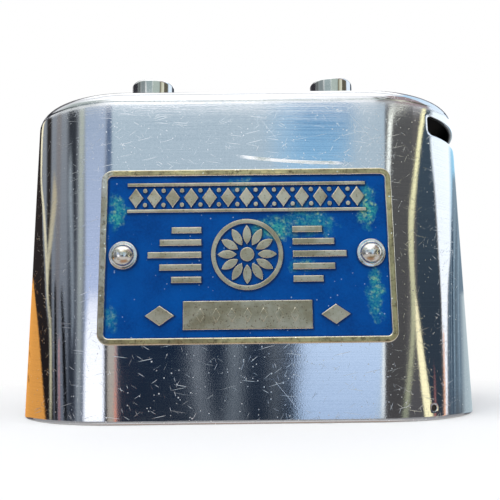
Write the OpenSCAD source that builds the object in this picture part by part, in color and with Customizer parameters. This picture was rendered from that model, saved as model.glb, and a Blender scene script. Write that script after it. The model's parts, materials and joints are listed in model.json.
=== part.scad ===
// Home savings bank. A drawn steel shell of obround plan carries a riveted enamelled
// plate, two posts with a folding wire bail, a coin slot with a sprung flap behind it,
// and a hinged base door with a small key lock.
// Millimetres. +X runs along the width, the plate faces -Y, +Z is up, and the origin
// is the middle of the flat face that the bank stands on.

/* [Shell] */
// Overall width of the shell
body_w = 112; // [100:1:130]
// Overall depth of the shell, which is also the diameter of its round ends
body_d = 56.6; // [50:0.2:62]
// Height of the shell without its posts
body_h = 75.6; // [68:0.2:95]
// Thickness of the drawn sheet
wall = 1; // [0.8:0.1:1.4]
// Outer radius of the rounded top edge
top_edge_r = 3.4; // [2.5:0.1:3.6]

/* [Coin slot] */
// Distance of the slot's ends from the sides of the shell
slot_inset = 4.8; // [4.6:0.1:8]
// Height of the slot
slot_h = 4.7; // [4.4:0.1:6]
// Distance from the top of the shell down to the upper edge of the slot
slot_drop = 5.5; // [5:0.1:8]
// Corner radius of the slot
slot_corner_r = 1; // [0.6:0.1:1.8]

/* [Posts and bail] */
// Diameter of a post
post_d = 11.8; // [10:0.2:14]
// Height of a post above the shell
post_h = 13.6; // [10:0.2:16]
// Distance of a post from the end of the shell's straight side
post_inset = 2.5; // [1.5:0.1:5]
// Sideways offset of the pair of posts from the middle
post_shift = -1; // [-1.5:0.1:0]
// Radius of the rounded rim on a post
post_rim_r = 0.8; // [0.4:0.1:1.2]
// Diameter of the threaded shank under a post
shank_d = 6; // [5:0.5:7]
// Diameter of the bail wire
wire_d = 3; // [2.4:0.1:3.4]
// Distance from the bail's pivot to the middle of its grip
bail_reach = 22; // [18:0.5:22.5]
// Height of the bail's pivot above the shell
pivot_h = 6; // [5:0.1:7]

/* [Name plate] */
// Distance of a plate rivet from the end of the shell's flat front
rivet_inset = 0.6; // [0.2:0.1:2]
// Distance from a rivet to the plate's end
plate_margin = 5.3; // [5:0.1:6.5]
// Height of the plate
plate_h = 38.8; // [36:0.2:46]
// Thickness of the plate at its raised border
plate_t = 1.2; // [1:0.1:1.8]
// Height of the plate's centre above the base
plate_z = 36; // [30:0.1:44]
// Width of the raised border
border = 1.5; // [1:0.1:2]
// Outer corner radius of the plate
plate_corner_r = 2.5; // [1.6:0.1:3.5]
// Depth of the recess that holds the enamel
relief = 0.4; // [0.2:0.05:0.6]
// Thickness of the enamel in its recess
enamel_t = 0.32; // [0.1:0.02:0.4]
// Diameter of a rivet's domed head
rivet_head_d = 5; // [4.4:0.1:5.6]
// Height of a rivet's dome above its flange
rivet_head_h = 1.7; // [1.2:0.1:2]
// Diameter of the flat flange under a rivet's dome
rivet_flange_d = 6.2; // [6:0.1:6.8]
// Thickness of the flange
rivet_flange_t = 0.35; // [0.2:0.05:0.5]
// Diameter of a rivet's shank
rivet_shank_d = 2.6; // [2.2:0.1:3]

/* [Base door] */
// Thickness of the door
door_t = 1.6; // [1.2:0.1:2]
// Clearance between the door and the frame round it
door_gap = 0.6; // [0.5:0.05:0.8]
// Outer diameter of a hinge knuckle
knuckle_d = 3.6; // [3.2:0.1:4]
// Diameter of the hinge pin
hinge_pin_d = 2; // [1.6:0.1:2.2]
// Length of one knuckle
knuckle_len = 8; // [6:0.5:9]
// Height of the frame's collar inside the shell
collar_h = 7; // [6:0.5:10]
// Sheet thickness of the frame
frame_t = 1.2; // [1:0.1:1.4]
// Width of the frame's inward ledge along the front and ends
ledge_w = 3.7; // [3:0.1:4.5]

/* [Lock] */
// Width of the lock case
case_w = 26; // [24:0.5:32]
// Length of the lock case from front to back
case_l = 20; // [19:0.5:22]
// Height of the lock case above the door
case_h = 6.4; // [6:0.2:9]
// Distance of the key plug from the shell's front
plug_inset = 18.3; // [18.1:0.2:20.1]
// Diameter of the key plug
plug_d = 8; // [7:0.5:9]
// Width of the bolt
bolt_w = 10; // [9:0.5:11]
// Thickness of the bolt
bolt_t = 2; // [1.6:0.1:2.2]
// Distance from the plug's axis to its crank pin
crank_r = 2.6; // [2.4:0.1:2.8]

/* [Hidden] */
$fn = 96;

// Clearances: fit is a shaft's running clearance, seat a still piece's, and clear keeps
// moving pieces apart
fit = 0.05;
seat = 0.1;
clear = 0.3;
cut = 1;

end_r = body_d / 2;
run = body_w / 2 - end_r;
cavity_top = body_h - wall;

slot_w = body_d - 2 * slot_inset;
slot_top = body_h - slot_drop;
slot_low = slot_top - slot_h;

// Coin chute and flap, hung under the top behind the slot
sheet = 0.8;
chute_ease = 0.2;
chute_floor = slot_low - clear;
chute_half = slot_w / 2 + chute_ease;
chute_edge = run + sqrt(pow(end_r - wall, 2) - pow(chute_half + sheet, 2));
flap_r = 1.4;
flap_pin_d = 1.6;
flap_pin_head_h = 0.5;
flap_t = 0.8;
flap_inset = 3.5;
flap_x = chute_edge - flap_inset;
flap_z = cavity_top - sheet - flap_r - clear;
flap_half = chute_half - clear;
flap_low = chute_floor + clear;
chute_in = flap_x - flap_r - seat;
stop_w = 2;
stop_h = 3;
tab_l = 4;
flange_w = 6;
chute_rivet_d = 2.4;
chute_upset_d = chute_rivet_d * 1.5;
chute_rivet_head_d = 4;
chute_upset_h = 0.8;
chute_sink = wall - clear;
chute_rivet_x = chute_in - tab_l / 2;
chute_rivet_y = chute_half + sheet - flange_w + chute_upset_d / 2;
spring_half = 3.4;
spring_wire_d = 0.5;
spring_gap = 0.25;
spring_coil_r = flap_pin_d / 2 + spring_gap + spring_wire_d / 2;
spring_pitch = 1;
spring_turns = 4;

// Posts, stiffener and bail
post_r = post_d / 2;
post_gap = 2 * (run - post_inset);
stiffener_t = 1.2;
stiffener_margin = 8;
stiffener_w = 20;
washer_t = 1;
washer_d = shank_d * 2;
nut_h = shank_d * 0.8;
nut_flats = shank_d * 1.65;
shank_past_nut = 1;
shank_end = cavity_top - stiffener_t - washer_t - nut_h - shank_past_nut;
wire_r = wire_d / 2;
pivot_z = body_h + pivot_h;
pivot_bend = 2.9;
grip_bend = 7;
arm_x = post_gap / 2 + post_r + clear + pivot_bend;
stub_past_post = 1.2;
stub_in = post_gap / 2 - post_r - stub_past_post;
rest_gap = 0.15;
bail_tilt = asin((pivot_h - wire_r - rest_gap) / bail_reach);

// Name plate and its rivets
rivet_gap = 2 * (run - rivet_inset);
plate_w = rivet_gap + 2 * plate_margin;
plate_back = -end_r;
plate_front = plate_back - plate_t;
boss_r = rivet_flange_d / 2;
field_corner_r = plate_corner_r - border * 0.6;
tablet_w = rivet_gap / 2;
tablet_h = 5.9;
tablet_margin = 1.8;
tablet_y = border + tablet_margin + tablet_h / 2 - plate_h / 2;
band_w = plate_w - 2 * border - 10;
band_h = 4.8;
band_margin = 2.5;
band_y = plate_h / 2 - border - band_margin - band_h / 2;
band_step = 4;
rosette_gap = 2.9;
rosette_y = (band_y - band_h / 2 + tablet_y + tablet_h / 2) / 2;
rosette_r = (band_y - band_h / 2 - tablet_y - tablet_h / 2) / 2 - rosette_gap;
rule_t = 1;
rule_step = 2.6;
rule_gap = 2.5;
rule_shorter = 2.4;
rule_l = rivet_gap / 2 - boss_r - rosette_r - 2 * rule_gap;
lozenge_w = 5;
lozenge_h = 3.6;
rivet_washer_t = 0.6;
rivet_washer_d = rivet_shank_d * 1.9;
rivet_washer_y = plate_back + wall + seat;
upset_h = 1.2;
upset_d = rivet_shank_d * 1.45;

// Base frame, door and hinge
collar_r = end_r - wall - seat;
collar_in = collar_r - frame_t;
knuckle_r = knuckle_d / 2;
knuckle_gap = 0.2;
hinge_inset = 1.3;
hinge_z = knuckle_r + knuckle_gap;
hinge_y = collar_in - knuckle_r - hinge_inset;
hinge_half = 2.5 * knuckle_len;
ledge_z = door_t + 0.4;
ledge_top = ledge_z + frame_t;
door_r = collar_in - door_gap;
door_to_knuckle = 2;
door_back = hinge_y - knuckle_r - door_to_knuckle;
ledge_lap = 2.8;
ledge_back = door_back - ledge_lap;
rail_gap = 0.9;
rail_y = door_back + rail_gap;
notch_end = 1.2;
notch_half = hinge_half + notch_end;
notch_reach = knuckle_r + clear + seat;
pin_head_d = hinge_pin_d * 1.5;
pin_head_h = 0.6;
frame_pin_d = 1.4;
frame_pin_z = 2.5;
frame_pin_turn = 64;
frame_pin_sink = 0.4;

// Lock, carried on the inside of the door
plug_y = end_r - plug_inset;
case_t = 1.2;
case_ahead = 9;
case_front = -plug_y - case_ahead;
case_back = case_front + case_l;
case_top = door_t + case_h;
foot_w = 6;
foot_t = 1.2;
cover_t = 1;
screw_d = 2.4;
screw_head_d = 4.4;
screw_head_h = 1.2;
screw_inset = 4;
screw_y = case_l / 2 - screw_inset;
screw_slot_w = 0.6;
screw_end = 0.2;
cover_screw_end = 0.6;
boss_post = 5;
bolt_z = ledge_top + clear;
bolt_free = 0.9;
bolt_front = -(collar_in - ledge_w) + bolt_free;
bolt_slack = 0.2;
throw = 2 * crank_r * sin(45);
bolt_back = case_back + throw + bolt_free;
bush_t = 1;
plug_sink = 0.15;
plug_flange_z = door_t + plug_sink;
plug_flange_t = 1.2;
plug_flange_r = plug_d / 2 + bush_t + 0.5;
crank_d = 1.8;
crank_past_bolt = 0.5;
crank_top = bolt_z + bolt_t + crank_past_bolt;
crank_gap = 0.16;
key_slot_l = 5.6;
key_slot_w = 1.2;
key_slot_end = 0.6;
leaf_t = 0.4;
leaf_foot = 3;
leaf_gap = 0.25;
leaf_nose_r = 0.7;

steel = [0.62, 0.64, 0.68];
brass = [0.66, 0.58, 0.38];
dark = [0.32, 0.33, 0.35];

// A box from its lowest corner to its highest corner
module block(low, high) translate(low) cube(high - low);

// A half section, swept round both ends and along both straight sides
module stadium(half_run) {
    for (turn = [0, 180])
        rotate(turn) translate([half_run, 0]) rotate(-90)
            rotate_extrude(angle = 180) children();
    rotate([90, 0, 90]) linear_extrude(2 * half_run, center = true) {
        children();
        mirror([1, 0]) children();
    }
}

// Half section of a solid with a rounded upper edge
module rounded_half(r, low, high, edge) {
    translate([0, low]) square([r - edge, high - low]);
    translate([0, low]) square([r, high - low - edge]);
    intersection() {
        translate([r - edge, high - edge]) circle(edge);
        translate([r - edge, high - edge]) square(edge);
    }
}

module round_rect(w, h, r) {
    square([w - 2 * r, h], center = true);
    square([w, h - 2 * r], center = true);
    for (x = [-1, 1], y = [-1, 1]) translate([x * (w / 2 - r), y * (h / 2 - r)]) circle(r);
}

module rod_x(from, to, r) translate([from, 0, 0]) rotate([0, 90, 0]) cylinder(r = r, h = to - from);

module rod_y(from, to, r) translate([0, from, 0]) rotate([-90, 0, 0]) cylinder(r = r, h = to - from);

module at_posts() for (side = [-1, 1]) translate([post_shift + side * post_gap / 2, 0, 0]) children();

module at_rivets() for (side = [-1, 1]) translate([side * rivet_gap / 2, 0, plate_z]) children();

module at_chute_rivets() for (side = [-1, 1])
    translate([chute_rivet_x, side * chute_rivet_y, 0]) children();

// The cone of a countersunk head, from the sink's depth up to a height h above it
module sunk_head(gap, h) {
    slope = (chute_rivet_head_d - chute_rivet_d) / 2 / chute_sink;
    low_r = chute_rivet_d / 2 + gap;
    translate([0, 0, body_h - chute_sink]) cylinder(r1 = low_r, r2 = low_r + slope * h, h = h);
}

module at_frame_pins() for (turn = [-frame_pin_turn, 180 - frame_pin_turn])
    translate([(turn < 0 ? 1 : -1) * run, 0, frame_pin_z]) rotate(turn) children();

// Space inside the shell, less a gap all round its wall
module cavity(gap) {
    inner_edge = top_edge_r - wall;
    stadium(run) rounded_half(end_r - wall - gap, 0, cavity_top, inner_edge);
}

module body_shell() color(steel) difference() {
    stadium(run) difference() {
        rounded_half(end_r, 0, body_h, top_edge_r);
        rounded_half(end_r - wall, -cut, cavity_top, top_edge_r - wall);
    }
    translate([run + end_r / 4, 0, (slot_low + slot_top) / 2]) rotate([90, 0, 90])
        linear_extrude(end_r) round_rect(slot_w, slot_h, slot_corner_r);
    at_posts() translate([0, 0, cavity_top - cut]) cylinder(d = shank_d + 2 * seat, h = wall + 2 * cut);
    at_chute_rivets() {
        translate([0, 0, cavity_top - cut]) cylinder(d = chute_rivet_d + 2 * fit, h = wall + 2 * cut);
        sunk_head(fit, chute_sink + cut);
    }
    at_rivets() rod_y(plate_back - cut, plate_back + wall + cut, rivet_shank_d / 2 + fit);
    at_frame_pins() rod_x(end_r - wall - cut, end_r + cut, frame_pin_d / 2 + fit);
}

module top_stiffener() color(dark) difference() {
    length = post_gap + 2 * stiffener_margin;
    translate([post_shift, 0, cavity_top - stiffener_t]) linear_extrude(stiffener_t)
        round_rect(length, stiffener_w, stiffener_margin - 2);
    at_posts() translate([0, 0, cavity_top - stiffener_t - cut])
        cylinder(d = shank_d + 2 * seat, h = stiffener_t + 2 * cut);
}

// A turned post with its shank through the top and a cross bore for the bail
module post() color(steel) difference() {
    union() {
        translate([0, 0, body_h]) rotate_extrude() rounded_half(post_r, 0, post_h, post_rim_r);
        translate([0, 0, shank_end]) cylinder(d = shank_d, h = body_h - shank_end + cut);
    }
    translate([0, 0, pivot_z]) rod_x(-post_r - cut, post_r + cut, wire_r + fit);
}

module left_post() translate([post_shift - post_gap / 2, 0, 0]) post();

module right_post() translate([post_shift + post_gap / 2, 0, 0]) post();

module post_washers() color(dark) at_posts() translate([0, 0, cavity_top - stiffener_t - washer_t])
    difference() {
        cylinder(d = washer_d, h = washer_t);
        translate([0, 0, -cut]) cylinder(d = shank_d + 2 * seat, h = washer_t + 2 * cut);
    }

module post_nuts() color(dark) at_posts()
    translate([0, 0, cavity_top - stiffener_t - washer_t - nut_h]) difference() {
        cylinder(d = nut_flats / cos(30), h = nut_h, $fn = 6);
        translate([0, 0, -cut]) cylinder(d = shank_d + 2 * fit, h = nut_h + 2 * cut);
    }

// One quarter turn of the bail's wire, from the +X direction
module wire_bend(r) rotate_extrude(angle = 90) translate([r, 0]) circle(wire_r);

module half_bail() {
    rod_x(stub_in, arm_x - pivot_bend, wire_r);
    translate([arm_x - pivot_bend, pivot_bend]) rotate(-90) wire_bend(pivot_bend);
    translate([arm_x, 0]) rod_y(pivot_bend, bail_reach - grip_bend, wire_r);
    translate([arm_x - grip_bend, bail_reach - grip_bend]) wire_bend(grip_bend);
    translate([0, bail_reach]) rod_x(0, arm_x - grip_bend, wire_r);
}

// The bail lies folded back on the top, with its ends in the posts' bores
module bail_handle() color(steel) translate([post_shift, 0, pivot_z]) rotate([-bail_tilt, 0, 0]) {
    half_bail();
    mirror([1, 0, 0]) half_bail();
}

// Plate coordinates: X across, Y up from the plate's centre
module on_plate(depth) translate([0, plate_back - depth, plate_z]) rotate([90, 0, 0]) children();

module lozenge(w, h) polygon([[-w / 2, 0], [0, -h / 2], [w / 2, 0], [0, h / 2]]);

// A band of lozenges between two rules
module lozenge_band(length, height, step) {
    rule_h = rule_t / 2;
    count = floor(length / step / 2);
    for (side = [-1, 1]) translate([0, side * height / 2]) square([length, rule_h], center = true);
    for (i = [-count : count]) translate([i * step, 0]) lozenge(step * 0.72, height - 3 * rule_h);
}

// A petal between two arcs of one radius
module petal(inner, outer, arc_r) {
    middle = (inner + outer) / 2;
    half_chord = (outer - inner) / 2;
    offset_y = sqrt(arc_r * arc_r - half_chord * half_chord);
    intersection() {
        translate([middle, offset_y]) circle(arc_r);
        translate([middle, -offset_y]) circle(arc_r);
    }
}

module rosette(r) {
    difference() {
        circle(r);
        circle(r - 0.8);
    }
    for (i = [0 : 11]) rotate(i * 30) petal(r * 0.3, r * 0.84, r * 0.52);
    circle(r * 0.2);
}

// Stepped rules that run from the rosette towards a rivet
module stepped_rules(start, length, step) for (i = [-2 : 2])
    translate([start, i * step - rule_t / 2]) square([length - abs(i) * rule_shorter, rule_t]);

// Everything on the plate that stays bare and raised above the enamel
module raised_motifs() {
    for (side = [-1, 1]) translate([side * rivet_gap / 2, 0]) circle(boss_r);
    translate([0, band_y]) lozenge_band(band_w, band_h, band_step);
    translate([0, rosette_y]) {
        rosette(rosette_r);
        for (side = [0, 1]) mirror([side, 0]) stepped_rules(rosette_r + rule_gap, rule_l, rule_step);
    }
    translate([0, tablet_y]) {
        round_rect(tablet_w, tablet_h, rule_t / 2);
        for (side = [-1, 1]) translate([side * (tablet_w / 2 + lozenge_w), 0])
            lozenge(lozenge_w, lozenge_h);
    }
}

module plate_field() round_rect(plate_w - 2 * border, plate_h - 2 * border, field_corner_r);

module name_plate() color(brass) difference() {
    union() {
        on_plate(0) linear_extrude(plate_t - relief) round_rect(plate_w, plate_h, plate_corner_r);
        on_plate(plate_t - relief) linear_extrude(relief) {
            difference() {
                round_rect(plate_w, plate_h, plate_corner_r);
                plate_field();
            }
            raised_motifs();
        }
    }
    at_rivets() rod_y(plate_front - cut, plate_back + cut, rivet_shank_d / 2 + fit);
}

module enamel_field() color([0.02, 0.3, 0.62]) on_plate(plate_t - relief)
    linear_extrude(enamel_t) difference() {
        plate_field();
        raised_motifs();
    }

// A dome on a flange in front, a shank through plate and shell, and the end upset inside
module plate_rivets() color(steel) at_rivets() {
    head_r = rivet_head_d / 2;
    dome_r = (head_r * head_r + rivet_head_h * rivet_head_h) / (2 * rivet_head_h);
    flange_front = plate_front - rivet_flange_t;
    inside = rivet_washer_y + rivet_washer_t;
    intersection() {
        translate([0, flange_front - rivet_head_h + dome_r, 0]) sphere(dome_r);
        rod_y(flange_front - rivet_head_h - cut, flange_front, head_r + cut);
    }
    rod_y(flange_front, plate_front, rivet_flange_d / 2);
    rod_y(plate_front, inside, rivet_shank_d / 2);
    rod_y(inside, inside + upset_h, upset_d / 2);
}

module rivet_washers() color(dark) at_rivets() difference() {
    rod_y(rivet_washer_y, rivet_washer_y + rivet_washer_t, rivet_washer_d / 2);
    rod_y(rivet_washer_y - cut, rivet_washer_y + rivet_washer_t + cut, rivet_shank_d / 2 + fit);
}

// A folded tray that carries coins from the slot to the flap
module coin_chute() color(dark) difference() {
    outer = chute_half + sheet;
    stop_x = flap_x + flap_t / 2 + seat;
    intersection() {
        union() {
            block([chute_in, -outer, chute_floor - sheet], [run + end_r, outer, chute_floor]);
            for (side = [0, 1]) mirror([0, side, 0]) {
                block([chute_in, chute_half, chute_floor - sheet], [run + end_r, outer, cavity_top]);
                block([chute_in - tab_l, outer - flange_w, cavity_top - sheet],
                      [chute_in + tab_l, outer, cavity_top]);
                block([stop_x, chute_half - stop_w, chute_floor - sheet],
                      [stop_x + sheet, chute_half + sheet / 2, chute_floor + stop_h]);
            }
        }
        cavity(seat);
    }
    at_chute_rivets() translate([0, 0, cavity_top - sheet - cut])
        cylinder(d = chute_rivet_d + 2 * fit, h = sheet + 2 * cut);
    translate([flap_x, 0, flap_z]) rod_y(-outer - cut, outer + cut, flap_pin_d / 2 + fit);
}

// Countersunk rivets, flush with the top, where the folded bail passes over them
module chute_rivets() color(steel) at_chute_rivets() {
    low = cavity_top - sheet - chute_upset_h;
    sunk_head(0, chute_sink);
    translate([0, 0, low]) cylinder(d = chute_rivet_d, h = body_h - low - chute_sink / 2);
    translate([0, 0, low]) cylinder(d = chute_upset_d, h = chute_upset_h);
}

module coin_flap() color(steel) translate([flap_x, 0, flap_z]) difference() {
    union() {
        for (side = [0, 1]) mirror([0, side, 0]) rod_y(spring_half, flap_half, flap_r);
        block([-flap_t / 2, -flap_half, flap_low - flap_z], [flap_t / 2, flap_half, 0]);
    }
    rod_y(-flap_half - cut, flap_half + cut, flap_pin_d / 2 + fit);
    block([-flap_r, -spring_half, -flap_r - 1], [flap_r, spring_half, flap_r]);
}

module flap_pin() color(steel) translate([flap_x, 0, flap_z]) {
    reach = chute_half + sheet + seat;
    rod_y(-reach, reach, flap_pin_d / 2);
    for (side = [0, 1]) mirror([0, side, 0])
        rod_y(reach, reach + flap_pin_head_h, flap_pin_d * 0.8);
}

// A tube through a list of points, with its section held square to the Y-Z-X frame of a coil
module coil_tube(points, outs, r, sides) {
    rings = len(points);
    section = [for (i = [0 : rings - 1], k = [0 : sides - 1])
        points[i] + r * (cos(k * 360 / sides) * outs[i] + sin(k * 360 / sides) * [0, 1, 0])];
    walls = [for (i = [0 : rings - 2], k = [0 : sides - 1], half = [0, 1])
        let (a = i * sides + k, b = i * sides + (k + 1) % sides)
            half == 0 ? [a, a + sides, b] : [b, a + sides, b + sides]];
    ends = [for (k = [1 : sides - 2], last = [0, 1])
        last == 0 ? [0, k, k + 1] : (rings - 1) * sides * [1, 1, 1] + [0, k + 1, k]];
    polyhedron(section, concat(walls, ends));
}

// A torsion spring round the flap's pin: one leg under the top, one behind the flap
module flap_spring() color(steel) translate([flap_x, 0, flap_z]) {
    steps = 8;
    start_y = -spring_pitch * spring_turns / 2;
    turns = [for (i = [0 : steps * spring_turns]) i / steps];
    coil = [for (t = turns)
        [-spring_coil_r * cos(360 * t), start_y + spring_pitch * t, -spring_coil_r * sin(360 * t)]];
    outs = [for (t = turns) [-cos(360 * t), 0, -sin(360 * t)]];
    upper = [-spring_coil_r, start_y, flap_r];
    lower = [-spring_coil_r, -start_y, flap_low - flap_z + 2];
    path = concat([upper], coil, [lower]);
    coil_tube(path, concat([outs[0]], outs, [outs[0]]), spring_wire_d / 2, 6);
}

module at_knuckles(first) for (i = [first : 2 : 4])
    translate([-hinge_half + i * knuckle_len, hinge_y, hinge_z]) children();

// A collar and ledge inside the shell's foot, with a rail and knuckles along the back
module base_frame() color(dark) difference() {
    union() {
        difference() {
            union() {
                stadium(run) {
                    translate([collar_in, 0]) square([frame_t, collar_h]);
                    translate([collar_in - ledge_w, ledge_z]) square([ledge_w + frame_t / 2, frame_t]);
                }
                intersection() {
                    stadium(run) square([collar_in + frame_t / 2, collar_h]);
                    union() {
                        block([-body_w, ledge_back, ledge_z], [body_w, body_d, ledge_top]);
                        block([-body_w, rail_y, 0], [body_w, body_d, ledge_top]);
                    }
                }
            }
            block([-notch_half, hinge_y - notch_reach, -cut],
                  [notch_half, collar_in - frame_t / 2, collar_h + cut]);
            block([-notch_half, rail_y - cut, -cut], [notch_half, hinge_y, ledge_z]);
        }
        at_knuckles(0) {
            rod_x(0, knuckle_len, knuckle_r);
            block([0, 0, ledge_z - hinge_z],
                  [knuckle_len, collar_in - hinge_y + frame_t / 2, ledge_top - hinge_z]);
        }
    }
    translate([0, hinge_y, hinge_z]) rod_x(-notch_half, notch_half, hinge_pin_d / 2 + fit);
    at_frame_pins() rod_x(collar_in - frame_t / 2, end_r, frame_pin_d / 2 + fit);
}

module frame_pins() color(steel) at_frame_pins()
    rod_x(collar_in + seat, end_r - frame_pin_sink, frame_pin_d / 2);

module at_lock_screws() for (x = [-1, 1], y = [-1, 1])
    translate([x * (case_w / 2 + foot_w / 2), (case_front + case_back) / 2 + y * screw_y, 0]) children();

module at_cover_screws() for (side = [-1, 1])
    translate([side * (case_w / 2 - boss_post / 2), case_back - boss_post / 2, 0]) children();

module base_door() color(steel) difference() {
    union() {
        intersection() {
            stadium(run) square([door_r, door_t]);
            block([-body_w, -body_d, -cut], [body_w, door_back, door_t + cut]);
        }
        at_knuckles(1) {
            rod_x(knuckle_gap, knuckle_len - knuckle_gap, knuckle_r);
            block([knuckle_gap, door_back - hinge_y - cut, -hinge_z],
                  [knuckle_len - knuckle_gap, 0, door_t - hinge_z]);
        }
    }
    translate([0, hinge_y, hinge_z]) rod_x(-notch_half, notch_half, hinge_pin_d / 2 + fit);
    translate([0, -plug_y, -cut]) cylinder(r = plug_d / 2 + bush_t + fit, h = door_t + 2 * cut);
    at_lock_screws() translate([0, 0, -cut]) cylinder(d = screw_d + 2 * fit, h = door_t + 2 * cut);
}

module hinge_pin() color(steel) translate([0, hinge_y, hinge_z]) {
    reach = hinge_half + seat;
    rod_x(-reach, reach, hinge_pin_d / 2);
    for (side = [0, 1]) mirror([side, 0, 0]) rod_x(reach, reach + pin_head_h, pin_head_d / 2);
}

// Four walls with two screw feet, two tapped corners and a window for the bolt at each end
module lock_case() color(dark) difference() {
    half = case_w / 2;
    union() {
        difference() {
            block([-half, case_front, door_t], [half, case_back, case_top]);
            block([-half + case_t, case_front + case_t, door_t - cut],
                  [half - case_t, case_back - case_t, case_top + cut]);
        }
        for (side = [0, 1]) mirror([side, 0, 0]) {
            block([half - case_t / 2, case_front, door_t], [half + foot_w, case_back, door_t + foot_t]);
            block([half - boss_post, case_back - boss_post, door_t], [half, case_back, case_top]);
        }
    }
    block([-bolt_w / 2 - bolt_slack, case_front - cut, bolt_z - bolt_slack],
          [bolt_w / 2 + bolt_slack, case_back + cut, bolt_z + bolt_t + bolt_slack]);
    at_lock_screws() translate([0, 0, door_t - cut]) cylinder(d = screw_d + 2 * fit, h = case_h);
    at_cover_screws() translate([0, 0, door_t + foot_t]) cylinder(d = screw_d + 2 * fit, h = case_h);
}

module lock_cover() color(dark) difference() {
    block([-case_w / 2, case_front, case_top], [case_w / 2, case_back, case_top + cover_t]);
    at_cover_screws() translate([0, 0, case_top - cut])
        cylinder(d = screw_d + 2 * fit, h = cover_t + 2 * cut);
}

// A slotted cheese-head screw that stands on z = 0 and reaches down by its length
module screw(length) difference() {
    union() {
        cylinder(d = screw_head_d, h = screw_head_h);
        translate([0, 0, -length]) cylinder(d = screw_d, h = length + screw_head_h / 2);
    }
    block([-screw_head_d, -screw_slot_w / 2, screw_head_h / 2],
          [screw_head_d, screw_slot_w / 2, screw_head_h + cut]);
}

module lock_screws() color(steel) at_lock_screws()
    translate([0, 0, door_t + foot_t]) screw(foot_t + door_t - screw_end);

module cover_screws() color(steel) at_cover_screws()
    translate([0, 0, case_top + cover_t]) screw(cover_t + case_h - foot_t - cover_screw_end);

// The plug turns in its bush and drives the bolt with an off-centre pin
module key_plug() color(brass) translate([0, -plug_y, 0]) difference() {
    union() {
        translate([0, 0, plug_sink])
            cylinder(d = plug_d, h = plug_flange_z - plug_sink + plug_flange_t / 2);
        translate([0, 0, plug_flange_z]) cylinder(r = plug_flange_r, h = plug_flange_t);
        rotate(45) translate([crank_r, 0, plug_flange_z])
            cylinder(d = crank_d, h = crank_top - plug_flange_z);
    }
    top = door_t + key_slot_end;
    block([-key_slot_l / 2, -key_slot_w / 2, -cut], [key_slot_l / 2, key_slot_w / 2, top]);
    translate([0, 0, -cut]) cylinder(d = key_slot_w * 1.6, h = top + cut);
}

module plug_bush() color(brass) translate([0, -plug_y, 0]) difference() {
    cylinder(r = plug_d / 2 + bush_t, h = door_t);
    translate([0, 0, -cut]) cylinder(r = plug_d / 2 + fit, h = door_t + 2 * cut);
}

module lock_bolt() color(steel) difference() {
    block([-bolt_w / 2, bolt_front, bolt_z], [bolt_w / 2, bolt_back, bolt_z + bolt_t]);
    near = crank_r * cos(45) - crank_d / 2 - crank_gap;
    far = crank_r + crank_d / 2 + crank_gap;
    half = crank_d / 2 + crank_gap;
    middle = -plug_y + crank_r * sin(45);
    block([near, middle - half, bolt_z - cut], [far, middle + half, bolt_z + bolt_t + cut]);
}

// A leaf spring held on the case's left wall, with its nose beside the bolt
module detent_spring() color(steel) {
    wall_x = -case_w / 2 + case_t;
    nose_x = -bolt_w / 2 - leaf_gap - leaf_nose_r;
    foot_y = case_front + case_t + leaf_t;
    bend_y = foot_y + leaf_foot;
    nose_y = case_front + case_l / 2;
    reach = nose_x - wall_x;
    blade = norm([reach, nose_y - bend_y]);
    turn = atan2(nose_y - bend_y, reach);
    translate([0, 0, bolt_z]) linear_extrude(bolt_t) {
        translate([wall_x, foot_y]) square([leaf_t, leaf_foot + leaf_t]);
        translate([wall_x + leaf_t * sin(turn), bend_y]) rotate(turn) square([blade, leaf_t]);
        translate([nose_x, nose_y]) circle(leaf_nose_r);
    }
}

body_shell();
top_stiffener();
left_post();
right_post();
post_washers();
post_nuts();
bail_handle();
name_plate();
enamel_field();
plate_rivets();
rivet_washers();
coin_chute();
chute_rivets();
coin_flap();
flap_pin();
flap_spring();
base_frame();
frame_pins();
base_door();
hinge_pin();
lock_case();
lock_cover();
lock_screws();
cover_screws();
key_plug();
plug_bush();
lock_bolt();
detent_spring();
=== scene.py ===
# %% [markdown]
# This lesson dresses a imported CAD part, an old home savings bank, as it looks in its photograph.
# The bank is a drawn and polished steel can, oval in plan, with an enamelled plate riveted to its front.
# The CAD model is the fixed frame: it says how big every piece is and what it moves with. It comes in
# first, and the pieces made here are shaped to stay inside its outer box.

import json
import math

import bmesh
import bpy
import numpy as np
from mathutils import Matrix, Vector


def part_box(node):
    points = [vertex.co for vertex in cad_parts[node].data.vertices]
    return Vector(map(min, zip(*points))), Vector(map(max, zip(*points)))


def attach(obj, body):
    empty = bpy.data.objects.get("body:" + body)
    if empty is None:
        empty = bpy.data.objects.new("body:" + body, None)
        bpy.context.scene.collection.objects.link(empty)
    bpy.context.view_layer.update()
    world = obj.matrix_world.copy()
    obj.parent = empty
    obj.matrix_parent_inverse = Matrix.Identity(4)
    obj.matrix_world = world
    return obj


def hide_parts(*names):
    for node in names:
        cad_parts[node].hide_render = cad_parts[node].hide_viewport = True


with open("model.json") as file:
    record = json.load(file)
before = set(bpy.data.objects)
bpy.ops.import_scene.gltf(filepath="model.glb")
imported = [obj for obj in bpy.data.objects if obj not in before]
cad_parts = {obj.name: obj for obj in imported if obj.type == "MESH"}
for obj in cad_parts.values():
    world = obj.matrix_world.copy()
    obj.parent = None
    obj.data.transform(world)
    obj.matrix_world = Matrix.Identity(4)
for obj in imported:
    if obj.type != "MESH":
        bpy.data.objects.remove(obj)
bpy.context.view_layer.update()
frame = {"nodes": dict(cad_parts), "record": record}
NODES = frame["nodes"]

# %% [markdown]
# All shapes below are worked out in millimetres, which is how a maker thinks of a pocket bank, and are
# turned into metres only when they go into Blender. The main sizes are read off the CAD nodes, so a
# piece made here lands where the node it stands for was.

# %% Main sizes, in millimetres
MM = 0.001
TAU = 2 * math.pi


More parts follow.
